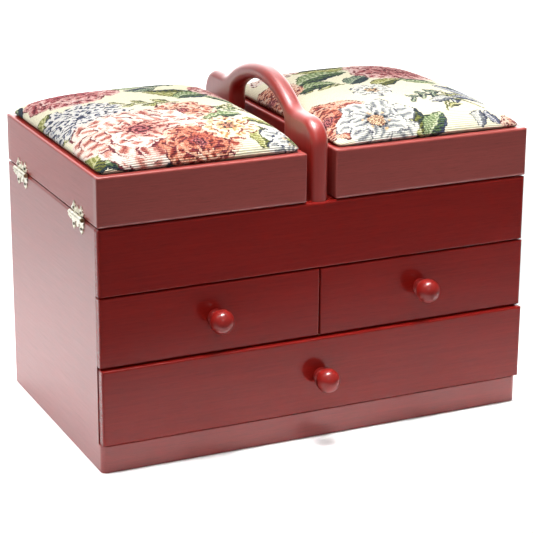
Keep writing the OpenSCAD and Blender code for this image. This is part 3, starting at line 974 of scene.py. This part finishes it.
def paint_right(cloth: Cloth) -> None:
    """Paints the right posy: a maroon rose behind, a grey anemone and a rust rose in front.

    Args:
        cloth: The right cushion's cloth.
    """
    for spray in RIGHT_SPRAYS:
        cloth.spray(*spray)
    for leaf in RIGHT_LEAVES:
        cloth.leaf(*leaf)
    cloth.stem((30, -60), (66, -88), 6, Yarn.OLIVE)
    cloth.anemone(-18, -34, 20, 0, Yarn.GREY, Yarn.GREY, Yarn.PEACH)
    cloth.spray(26, -92, 42, 55, Yarn.OLIVE, 5)
    for leaf in RIGHT_FRONT_LEAVES:
        cloth.leaf(*leaf)
    for rose in RIGHT_ROSES:
        cloth.rose(*rose)
    cloth.anemone(-44, -94, 40, 15, Yarn.GREY, Yarn.GREY, Yarn.PEACH)
    cloth.rose(90, -110, 18, 0, Yarn.RUST, Yarn.MAROON)


# ---- Pieces --------------------------------------------------------------


@dataclass(frozen=True)
class Stuffing:
    """How full a cushion is: its crown over the rim, how boxy its top is, and how it leans."""

    crown: float
    boxiness: float
    fullness: float
    lean: float


STUFFINGS = {
    Side.LEFT: Stuffing(crown=24.0 * MM, boxiness=4.2, fullness=0.53, lean=0.07),
    Side.RIGHT: Stuffing(crown=27.4 * MM, boxiness=3.0, fullness=0.62, lean=0.15),
}
POSIES = {Side.LEFT: paint_left, Side.RIGHT: paint_right}
SEEDS = {Side.LEFT: 7, Side.RIGHT: 11}
# A cushion's two profiles meet as their plain product at 0, and with fuller corners towards 1.
CORNER_FULLNESS = 0.88
TOP_SAMPLES = 3000
ROLL_SAMPLES = 300
TINY = 1e-9


@dataclass
class Cushion:
    """Padded tapestry cover of one lid: crowned on top, tucked in behind the rim all round."""

    side: Side
    material: bpy.types.Material
    tuck: float = 4.0 * MM
    swell: float = 5.2 * MM
    front_swell: float = 3.2 * MM
    swell_height: float = 2.6 * MM
    play: float = 0.5 * MM
    corner: float = 5.5 * MM
    cell: float = 3.0 * MM
    cord: float = 2.2 * MM
    cord_height: float = 0.19 * MM
    give: float = 5.0 * MM
    pressure: float = 4.0
    stretch_stiffness: float = 18.0
    bending_stiffness: float = 1.2
    settling_frames: int = 20
    low: Vector = field(init=False)
    high: Vector = field(init=False)
    stuffing: Stuffing = field(init=False)

    def __post_init__(self) -> None:
        """Measures the opening of the lid's frame."""
        lid = self.side.value + "_lid_"
        board_low, board_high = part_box(lid + "board")
        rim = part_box(lid + "front_rail")[1].z
        self.low = Vector((board_low.x, board_low.y, board_high.z))
        self.high = Vector((board_high.x, board_high.y, rim))
        self.stuffing = STUFFINGS[self.side]

    def profile(self, half: float, swell: float, cell: float) -> tuple[np.ndarray, ...]:
        """Works out where the cloth lies across one half of the cushion.

        The cloth comes up beside the rim, rolls out over it, and rises to the crown.

        Args:
            half: Half the width of the frame's opening.
            swell: How far the cloth rolls out over the rim.
            cell: The length of cloth that one step covers, about.

        Returns:
            Even steps of cloth from the middle to the tucked edge, how far out each step lies, and
            its height over the tucked edge.
        """
        fill = self.stuffing
        over = np.linspace(0, 1, TOP_SAMPLES)
        wide = half + swell
        out = over * wide
        rise = (1 - over ** fill.boxiness) ** fill.fullness
        up = self.swell_height + (fill.crown - self.swell_height) * rise
        roll = np.linspace(math.pi / 2, 0, ROLL_SAMPLES)[1:]
        foot = half - self.play
        out = np.concatenate([out, foot + (wide - foot) * np.sin(roll), [foot]])
        lift = self.play + (self.swell_height - self.play) * (1 - np.cos(roll))
        up = np.concatenate([up, lift, [-self.tuck]])
        length = np.concatenate([[0], np.cumsum(np.hypot(np.diff(out), np.diff(up)))])
        steps = max(8, round(length[-1] / cell))
        even = np.linspace(0, length[-1], steps + 1)
        return even, np.interp(even, length, out), np.interp(even, length, up) + self.tuck

    def shape(self, bm: bmesh.types.BMesh) -> None:
        """Makes the stretched cover as a grid of cloth, one row of cells to each cord.

        Args:
            bm: An empty bmesh, which gets the cover and the place of each corner in the flat cloth.
        """
        middle = (self.low + self.high) / 2
        half_x, half_y = (self.high.x - self.low.x) / 2, (self.high.y - self.low.y) / 2
        cloth_x, out_x, up_x = self.profile(half_x, self.swell, self.cell)
        cloth_y, out_y, up_y = self.profile(half_y, self.front_swell, self.cord)
        nx, ny = len(cloth_x) - 1, len(cloth_y) - 1
        full = self.stuffing.crown + self.tuck
        bmesh.ops.create_grid(bm, x_segments=2 * nx, y_segments=2 * ny, size=1.0)
        flat = bm.verts.layers.float_vector.new("cloth")
        for vert in bm.verts:
            i, j = round(abs(vert.co.x) * nx), round(abs(vert.co.y) * ny)
            sx, sy = math.copysign(1, vert.co.x), math.copysign(1, vert.co.y)
            vert[flat] = (sx * cloth_x[i], sy * cloth_y[j], 0)
            f, g = up_x[i] / full, up_y[j] / full
            outer = (sx > 0) is (self.side is Side.RIGHT)
            settled = 1 - self.stuffing.lean * (out_x[i] / half_x if outer else 0.0) ** 2
            plain = f * g
            joint = (1 - CORNER_FULLNESS) * plain + CORNER_FULLNESS * plain / max(f + g - plain, TINY)
            over_rim = full * joint * (1 - (1 - settled) * min(2 * joint, 1)) - self.tuck
            free = min(max(over_rim / self.swell_height, 0.0), 1.0)
            free = free * (2 - free)
            x = self.held(out_x[i], half_x, free)
            y = self.held(out_y[j], half_y, free)
            wide, deep = half_x + self.swell * free, half_y + self.front_swell * free
            x, y = self.rounded(x, wide, y, deep, self.corner * (0.5 + 0.5 * free))
            vert.co = (middle.x + sx * x, middle.y + sy * y, self.high.z + over_rim)

    def held(self, out: float, half: float, free: float) -> float:
        """Keeps cloth inside the frame's opening, unless it is free above the rim."""
        inside = half - self.play
        return min(out, inside) + max(out - inside, 0.0) * free

    @staticmethod
    def rounded(x: float, wide: float, y: float, deep: float, r: float) -> tuple[float, float]:
        """Moves a point near the corner of a rectangle so that the corner becomes round.

        Args:
            x: How far right the point is.
            wide: How far right the corner is.
            y: How far back the point is.
            deep: How far back the corner is.
            r: The radius of the round corner.

        Returns:
            The point's new x and y.
        """
        dx, dy = max(x - wide + r, 0.0), max(y - deep + r, 0.0)
        if dx <= 0 or dy <= 0:
            return x, y
        pull_x = dx * math.sqrt(1 - dy ** 2 / (2 * r ** 2))
        pull_y = dy * math.sqrt(1 - dx ** 2 / (2 * r ** 2))
        return wide - r + pull_x, deep - r + pull_y

    def close(self, bm: bmesh.types.BMesh) -> None:
        """Runs the cover's edge down to just over the lid's board and closes it underneath.

        Args:
            bm: The cover, open underneath.
        """
        border = [e for e in bm.edges if e.is_boundary]
        skirt = bmesh.ops.extrude_edge_only(bm, edges=border)["geom"]
        for vert in (v for v in skirt if isinstance(v, bmesh.types.BMVert)):
            vert.co.z = self.low.z + 0.1 * MM
        bmesh.ops.holes_fill(bm, edges=[e for e in bm.edges if e.is_boundary], sides=0)
        bmesh.ops.recalc_face_normals(bm, faces=bm.faces[:])

    def relax(self, piece: bpy.types.Object) -> None:
        """Inflates the cover a little as cloth, holding its tucked edge, and caps how far it moves.

        Args:
            piece: The cover before it is refined.
        """
        mesh = piece.data
        start = np.zeros(len(mesh.vertices) * 3)
        mesh.vertices.foreach_get("co", start)
        held = piece.vertex_groups.new(name="held")
        edge_height = self.high.z + 1.0 * MM
        held.add([v.index for v in mesh.vertices if v.co.z < edge_height], 1.0, "REPLACE")
        cloth = piece.modifiers.new("Cloth", "CLOTH")
        settings = cloth.settings
        settings.vertex_group_mass = "held"
        settings.use_pressure = True
        settings.uniform_pressure_force = self.pressure
        settings.effector_weights.gravity = 0.0
        settings.tension_stiffness = settings.compression_stiffness = self.stretch_stiffness
        settings.bending_stiffness = self.bending_stiffness
        scene = bpy.context.scene
        for number in range(1, self.settling_frames + 1):
            scene.frame_set(number)
        graph = bpy.context.evaluated_depsgraph_get()
        end = np.zeros_like(start)
        piece.evaluated_get(graph).data.vertices.foreach_get("co", end)
        move = (end - start).reshape(-1, 3)
        size = np.linalg.norm(move, axis=1, keepdims=True)
        move *= np.minimum(1.0, self.give / np.maximum(size, TINY))
        piece.modifiers.clear()
        scene.frame_set(1)
        mesh.vertices.foreach_set("co", (start.reshape(-1, 3) + move).ravel())
        mesh.update()
        log.info("%s: cloth moved up to %.1f mm", piece.name, size.max() / MM)

    def finish(self, piece: bpy.types.Object) -> None:
        """Refines the cover to four quads a cord, and weaves the picture into it.

        Args:
            piece: The cover, whose mesh is replaced.
        """
        refine = piece.modifiers.new("Refine", "SUBSURF")
        refine.levels = refine.render_levels = 2
        refine.boundary_smooth = "PRESERVE_CORNERS"
        graph = bpy.context.evaluated_depsgraph_get()
        fine = bpy.data.meshes.new_from_object(piece.evaluated_get(graph))
        piece.modifiers.clear()
        coarse, piece.data = piece.data, fine
        bpy.data.meshes.remove(coarse)
        count = len(fine.vertices)
        flat = np.zeros(count * 3)
        fine.attributes["cloth"].data.foreach_get("vector", flat)
        flat = flat.reshape(-1, 3)
        self.raise_cords(fine, flat[:, 1])
        cloth = Cloth(flat[:, 0] / MM, flat[:, 1] / MM, SEEDS[self.side])
        POSIES[self.side](cloth)
        colour = fine.attributes.new("motif", "FLOAT_COLOR", "POINT")
        rgba = np.concatenate([np.clip(cloth.rgb, 0, 1), np.ones((count, 1))], axis=1)
        colour.data.foreach_set("color", rgba.ravel().astype(np.float32))
        corners = np.zeros(len(fine.loops), dtype=np.int32)
        fine.loops.foreach_get("vertex_index", corners)
        uv = fine.uv_layers.new(name="weave")
        stitches = flat[corners, :2] / (MM, self.pitch())
        uv.data.foreach_set("uv", stitches.ravel().astype(np.float32))

    def raise_cords(self, mesh: bpy.types.Mesh, along: np.ndarray) -> None:
        """Lifts the cloth between the grooves, so that each cord is round.

        Args:
            mesh: The refined cover.
            along: How far behind the middle each of its corners is in the flat cloth.
        """
        count = len(mesh.vertices)
        place, normal = np.zeros(count * 3), np.zeros(count * 3)
        mesh.vertices.foreach_get("co", place)
        mesh.vertices.foreach_get("normal", normal)
        lift = -self.cord_height * np.cos(2 * math.pi * along / self.pitch())
        mesh.vertices.foreach_set("co", place + np.repeat(lift, 3) * normal)
        mesh.update()

    def pitch(self) -> float:
        """Gives the distance from one cord to the next, which is one cell of the grid."""
        return float(self.profile((self.high.y - self.low.y) / 2, self.front_swell, self.cord)[0][1])

    def make(self) -> bpy.types.Object:
        """Makes the cushion, closed underneath, and puts it on its lid.

        Returns:
            The finished piece.
        """
        bm = bmesh.new()
        self.shape(bm)
        piece = new_piece(self.side.value + "_tapestry_cushion", bm)
        self.relax(piece)
        self.finish(piece)
        bm = bmesh.new()
        bm.from_mesh(piece.data)
        self.close(bm)
        bm.to_mesh(piece.data)
        bm.free()
        dress(piece, self.material)
        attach(piece, self.side.value + "_lid")
        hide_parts(self.side.value + "_cushion")
        log.info("%s: %d faces", piece.name, len(piece.data.polygons))
        return piece


@dataclass
class CarryingHandle:
    """The arched handle board, its edges rounded to an oval grip."""

    material: bpy.types.Material
    shoulder_radius: float = 22.0 * MM
    shoulder_drop: float = 25.0 * MM
    crown_radius: float = 95.0 * MM
    back_crown_radius: float = 111.0 * MM
    hollow_radius: float = 30.0 * MM
    grip: float = 12.4 * MM
    hole_width: float = 108.0 * MM
    sill: float = 24.0 * MM
    arch_radius: float = 84.0 * MM
    hole_corner: float = 9.0 * MM
    hole_fillet: float = 12.0 * MM
    rounding: float = 6.0 * MM
    shoulder_reach: float = 3.2 * MM
    crown_rise: float = 1.6 * MM
    margin: float = 0.2 * MM
    sharp_angle: float = 40.0
    round_steps: int = 6
    steps: int = 14

    def outer(self, half: float, bottom: float, top: float) -> list[Point]:
        """Draws the outline of the board, from the foot of the back post.

        Args:
            half: Half the depth of the board.
            bottom: The height of its foot.
            top: The height of its crown.

        Returns:
            One loop of Y and Z.
        """
        back = self.post(half, self.shoulder_reach, self.back_crown_radius, bottom, top)
        front = self.post(half, 0.0, self.crown_radius, bottom, top)
        return back[:-1] + [(-y, z) for y, z in reversed(front)]

    def post(self, half: float, reach: float, crown_radius: float, bottom: float,
             top: float) -> list[Point]:
        """Draws one post's outline from its foot, round its shoulder, to the middle of the crown.

        Args:
            half: Half the depth of the board.
            reach: How much further out than its foot the shoulder stands.
            crown_radius: The radius of the crown on this side.
            bottom: The height of its foot.
            top: The height of its crown.

        Returns:
            Points of Y and Z.
        """
        shoulder, r = top - self.shoulder_drop, self.shoulder_radius
        crown_z = top - crown_radius
        hollow_z = shoulder + self.hollow_radius
        apart = crown_radius + self.hollow_radius
        hollow_y = math.sqrt(apart ** 2 - (hollow_z - crown_z) ** 2)
        meet = math.degrees(math.atan2(hollow_z - crown_z, hollow_y))
        points = [(half, bottom)] + arc((half + reach - r, shoulder - r), r, 0, 90, self.steps)
        points += arc((hollow_y, hollow_z), self.hollow_radius, 270, 180 + meet, self.steps // 2)
        return points + arc((0, crown_z), crown_radius, meet, 90, self.steps)[1:]

    def inner(self, bottom: float, top: float) -> list[Point]:
        """Draws the hand hole, whose arch meets the upright sides in a fillet.

        Args:
            bottom: The height of the board's foot.
            top: The height of its crown.

        Returns:
            One loop of Y and Z.
        """
        half, r = self.hole_width / 2, self.hole_corner
        centre = top - self.grip - self.arch_radius
        sill = bottom + self.sill
        inside = half - self.hole_fillet
        fillet_z = centre + math.sqrt((self.arch_radius - self.hole_fillet) ** 2 - inside ** 2)
        meet = math.degrees(math.atan2(fillet_z - centre, inside))
        back = arc((half - r, sill + r), r, 270, 360, self.steps // 2)
        back += arc((inside, fillet_z), self.hole_fillet, 0, meet, self.steps // 2)
        arch = arc((0, centre), self.arch_radius, meet, 180 - meet, 2 * self.steps)
        front = [(-y, z) for y, z in reversed(back)]
        return back + arch[1:-1] + front

    def half_board(self, low: Vector, high: Vector) -> bmesh.types.BMesh:
        """Makes the half of the board right of its middle plane, open on that plane, its edge rounded.

        Args:
            low: The low corner of the board's box.
            high: The high corner of the board's box.

        Returns:
            The half board, which runs on below its foot.
        """
        bm = bmesh.new()
        edges = []
        outline = self.outer(high.y, low.z - self.rounding, high.z + self.crown_rise)
        for loop in (outline, self.inner(low.z, high.z)):
            verts = [bm.verts.new((0, y, z)) for y, z in loop]
            edges += [bm.edges.new((a, b)) for a, b in zip(verts, verts[1:] + verts[:1])]
        bmesh.ops.triangle_fill(bm, use_beauty=True, edges=edges, normal=(1, 0, 0))
        face = bm.faces[:]
        if face[0].normal.x < 0:
            bmesh.ops.reverse_faces(bm, faces=face)
        walls = bmesh.ops.extrude_face_region(bm, geom=face)["geom"]
        face = [g for g in walls if isinstance(g, bmesh.types.BMFace)]
        top = {v for f in face for v in f.verts}
        bmesh.ops.translate(bm, verts=list(top), vec=(high.x - self.rounding, 0, 0))
        bmesh.ops.delete(bm, geom=[f for f in bm.faces if all(v.co.x == 0 for v in f.verts)],
                         context="FACES_ONLY")
        turns = [math.radians(90 * k / self.round_steps) for k in range(self.round_steps + 1)]
        steps = [(self.rounding * (math.cos(a) - math.cos(b)), self.rounding * (math.sin(b) - math.sin(a)))
                 for a, b in zip(turns, turns[1:])]
        # The narrow flat margin keeps the shading of the rounded edge off the board's face.
        for thickness, depth in steps + [(self.margin, 0.0)]:
            bmesh.ops.inset_region(bm, faces=face, use_boundary=True, use_even_offset=True,
                                   thickness=thickness, depth=depth)
        return bm

    def make(self) -> bpy.types.Object:
        """Makes the rounded board, closed at its foot, and puts it on the case.

        Returns:
            The finished piece.
        """
        low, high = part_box("carrying_handle")
        bm = self.half_board(low, high)
        bmesh.ops.mirror(bm, geom=bm.verts[:] + bm.edges[:] + bm.faces[:], axis="X",
                         merge_dist=0.001 * MM)
        cut = bmesh.ops.bisect_plane(bm, geom=bm.verts[:] + bm.edges[:] + bm.faces[:],
                                     plane_co=(0, 0, low.z), plane_no=(0, 0, 1), clear_inner=True)
        rim = [g for g in cut["geom_cut"] if isinstance(g, bmesh.types.BMEdge)]
        bmesh.ops.edgenet_fill(bm, edges=rim)
        bmesh.ops.recalc_face_normals(bm, faces=bm.faces[:])
        piece = new_piece("arched_handle", bm)
        piece.data.set_sharp_from_angle(angle=math.radians(self.sharp_angle))
        dress(piece, self.material)
        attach(piece, "case")
        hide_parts("carrying_handle")
        log.info("%s: %d faces", piece.name, len(piece.data.polygons))
        return piece


class Woodwork:
    """Finishes of the case, drawers and trays."""

    def __init__(self) -> None:
        """Makes one material for each kind of board and direction of grain."""
        # Painted sheen: the lid fronts get a lighter, pinker copy of the case's stain, standing in for the
        # milky reflection on the lids. The lid sides get a lighter, redder copy with less coat.
        lid_dark_painted_sheen, lid_light_painted_sheen = srgb("85342f"), srgb("933c36")
        self.front = StainedWood("stained_wood_across", Grain.ACROSS, srgb("71100c"), srgb("811711"),
                                 roughness=0.19, coat=0.0, specular=0.3).make()
        self.plinth = StainedWood("stained_wood_plinth", Grain.ACROSS).make()
        self.lid_front_painted_sheen = StainedWood("stained_wood_lid", Grain.ACROSS, lid_dark_painted_sheen, lid_light_painted_sheen).make()
        self.side = StainedWood("stained_wood_deep", Grain.DEEP, coat=0.5).make()
        self.lid_side_painted_sheen = StainedWood("stained_wood_lid_deep", Grain.DEEP, srgb("83211c"), srgb("922822"),
                                    coat=0.3, specular=0.38).make()
        self.bare = {g: BareWood("bare_wood_" + g.value, g).make() for g in Grain}
        self.ply = BareWood("thin_board", Grain.DEEP, srgb("c39a68"), srgb("e0c092")).make()
        # Painted light: the handle and the knobs carry one finish in two copies, the handle's base made
        # brighter as if lit and the knobs' darker as if shaded.
        self.turned = StainedWood("turned_wood", Grain.UPRIGHT, srgb("86150c"), srgb("961c10"),
                                  roughness=0.42, coat=1.0, coat_roughness=0.36, relief=0.01 * MM).make()
        self.knob = StainedWood("knob_wood", Grain.DEEP, srgb("77110c"), srgb("82150f"),
                                roughness=0.5, coat=0.45, coat_roughness=0.1, relief=0.01 * MM,
                                specular=0.2).make()

    def stained(self, name: str, long_way: Grain) -> bpy.types.Material:
        """Picks the finish of a stained board.

        Args:
            name: The board's name.
            long_way: The direction that it is longest in.

        Returns:
            The material.
        """
        on_lid = "_lid_" in name
        if long_way is not Grain.ACROSS:
            return self.lid_side_painted_sheen if on_lid else self.side
        if name == "plinth_rail":
            return self.plinth
        return self.lid_front_painted_sheen if on_lid else self.front

    def dress_all(self) -> None:
        """Dresses every wooden node of the frame by its slot and the way it runs."""
        for entry in frame["record"]["subparts"]:
            name, slot = entry["node"], entry["material_slot"]
            low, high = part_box(name)
            size = high - low
            long_way = list(Grain)[max(range(3), key=lambda axis: size[axis])]
            finishes = {"stained_wood": self.stained(name, long_way), "turned_wood": self.turned,
                        "thin_board": self.ply, "inner_wood": self.bare[long_way],
                        "dowel_beech": self.bare[long_way]}
            if name.endswith("_knob"):
                finishes[slot] = self.knob
            if slot in finishes:
                dress(frame["nodes"][name], finishes[slot])


class Metalwork:
    """Finishes of the hinges, nails and screws."""

    FINISHES = {
        "hinge_brass": Metal("pale_brass", srgb("f2efe2"), srgb("c9c3ab"), 0.34),
        "pin_brass": Metal("brass_wire", srgb("d8cda0"), srgb("8f845c"), 0.35),
        # The nail heads get a dark metal, much darker than the hinge leaves.
        "dark_nails": Metal("dark_nail_metal", srgb("6a6350"), srgb("3a3528"), 0.4),
        "screw_steel": Metal("zinc_plate", srgb("c8c9c8"), srgb("94969a")),
    }

    def dress_all(self) -> None:
        """Dresses every metal node of the frame by its slot."""
        made = {slot: finish.make() for slot, finish in self.FINISHES.items()}
        for entry in frame["record"]["subparts"]:
            if entry["material_slot"] in made:
                dress(frame["nodes"][entry["node"]], made[entry["material_slot"]])


# ---- Studio --------------------------------------------------------------


@dataclass(frozen=True)
class Panel:
    """A soft rectangular light: what it faces, its size in metres, its watts and its beam in degrees."""

    name: str
    place: Triple
    target: Triple
    size: Point
    power: float
    spread: float

    def make(self) -> bpy.types.Object:
        """Makes the light.

        Returns:
            The light, put up and turned to its target.
        """
        data = bpy.data.lights.new(self.name, "AREA")
        data.shape = "RECTANGLE"
        data.size, data.size_y = self.size
        data.energy = self.power
        data.spread = math.radians(self.spread)
        light = bpy.data.objects.new(self.name, data)
        bpy.context.scene.collection.objects.link(light)
        aim(light, Vector(self.place), Vector(self.target))
        return light


PANELS = (
    Panel("top_light", (-0.25, 0.1, 1.5), (-0.25, 0.1, 0), (1.0, 0.7), 2.6, 58),
    Panel("left_light", (-0.7, 0.2, 0.9), (-0.32, 0.08, 0), (0.6, 0.6), 1.15, 56),
    Panel("back_light", (0.9, 1.6, 2.2), (0.9, 1.6, 0), (2.9, 1.6), 40.0, 66),
    Panel("front_light", (0.18, -0.15, 0.8), (0.18, -0.15, 0), (0.8, 0.15), 1.5, 42),
    Panel("key_light", (-0.5, -1.6, 1.3), (0, 0, 0.15), (0.5, 0.5), 0.2, 40),
)


def aim(thing: bpy.types.Object, place: Vector, target: Vector, roll: float = 0.0) -> None:
    """Puts a camera or light at a place and turns it to face a target.

    Args:
        thing: The camera or light.
        place: Where it stands.
        target: The point that it faces.
        roll: How far it is turned about its own line of sight, in degrees.
    """
    thing.location = place
    turn = (target - place).to_track_quat("-Z", "Y").to_matrix()
    thing.rotation_euler = (turn @ Matrix.Rotation(math.radians(roll), 3, "Z")).to_euler()


@dataclass
class Studio:
    """Floor, lights and camera."""

    azimuth: float = -24.96
    elevation: float = 18.48
    roll: float = 0.36
    target: Vector = field(default_factory=lambda: Vector((3.1, 0, 119.7)) * MM)
    distance: float = 1797.8 * MM
    lens: float = 134.2
    room: float = 0.24
    backdrop: float = 3.6
    backdrop_way: Triple = (0.42, 0.9, 0.1)
    backdrop_edge: float = 0.6
    backdrop_full: float = 0.94
    floor_size: float = 6.0
    floor_gap: float = 0.1 * MM

    def camera(self) -> None:
        """Makes the camera."""
        data = bpy.data.cameras.new("camera")
        data.lens = self.lens
        camera = bpy.data.objects.new("camera", data)
        bpy.context.scene.collection.objects.link(camera)
        a, e = math.radians(self.azimuth), math.radians(self.elevation)
        back = Vector((math.sin(a) * math.cos(e), -math.cos(a) * math.cos(e), math.sin(e)))
        aim(camera, self.target + back * self.distance, self.target, self.roll)
        bpy.context.scene.camera = camera

    def surroundings(self) -> None:
        """Makes the room: dim, with a pale backdrop low behind the box."""
        world = bpy.data.worlds.new("studio")
        world.use_nodes = True
        nodes, links = world.node_tree.nodes, world.node_tree.links
        coords = nodes.new("ShaderNodeTexCoord")
        toward = nodes.new("ShaderNodeVectorMath")
        toward.operation = "DOT_PRODUCT"
        toward.inputs[1].default_value = self.backdrop_way
        level = nodes.new("ShaderNodeMapRange")
        level.inputs["From Min"].default_value = self.backdrop_edge
        level.inputs["From Max"].default_value = self.backdrop_full
        level.inputs["To Min"].default_value = self.room
        level.inputs["To Max"].default_value = self.backdrop
        links.new(coords.outputs["Generated"], toward.inputs[0])
        links.new(toward.outputs["Value"], level.inputs["Value"])
        links.new(level.outputs[0], nodes["Background"].inputs["Strength"])
        nodes["Background"].inputs["Color"].default_value = (1, 1, 1, 1)
        bpy.context.scene.world = world

    def floor(self) -> None:
        """Lays the floor just under the box."""
        bm = bmesh.new()
        bmesh.ops.create_grid(bm, x_segments=1, y_segments=1, size=self.floor_size)
        floor = new_piece("studio_floor", bm)
        floor.data.transform(Matrix.Translation((0, 0, cad_box[0].z - self.floor_gap)))
        dress(floor, StudioFloor("studio_floor").make())
        floor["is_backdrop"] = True

    def make(self) -> None:
        """Makes the whole studio."""
        self.floor()
        for panel in PANELS:
            panel.make()
        self.surroundings()
        bpy.context.scene.view_settings.view_transform = "Standard"
        self.camera()


def main() -> None:
    """Builds and dresses the whole box."""
    logging.basicConfig(level=logging.INFO, format="%(name)s: %(message)s")
    Studio().make()
    wood = Woodwork()
    wood.dress_all()
    Metalwork().dress_all()
    cloth = TapestryCloth("tapestry").make()
    CarryingHandle(wood.turned).make()
    for side in Side:
        Cushion(side, cloth).make()
    boxes = {"cad": cad_box, "visual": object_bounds()}
    {k: [list(corner) for corner in box] for k, box in boxes.items()}


if __name__ == "__main__":
    main()
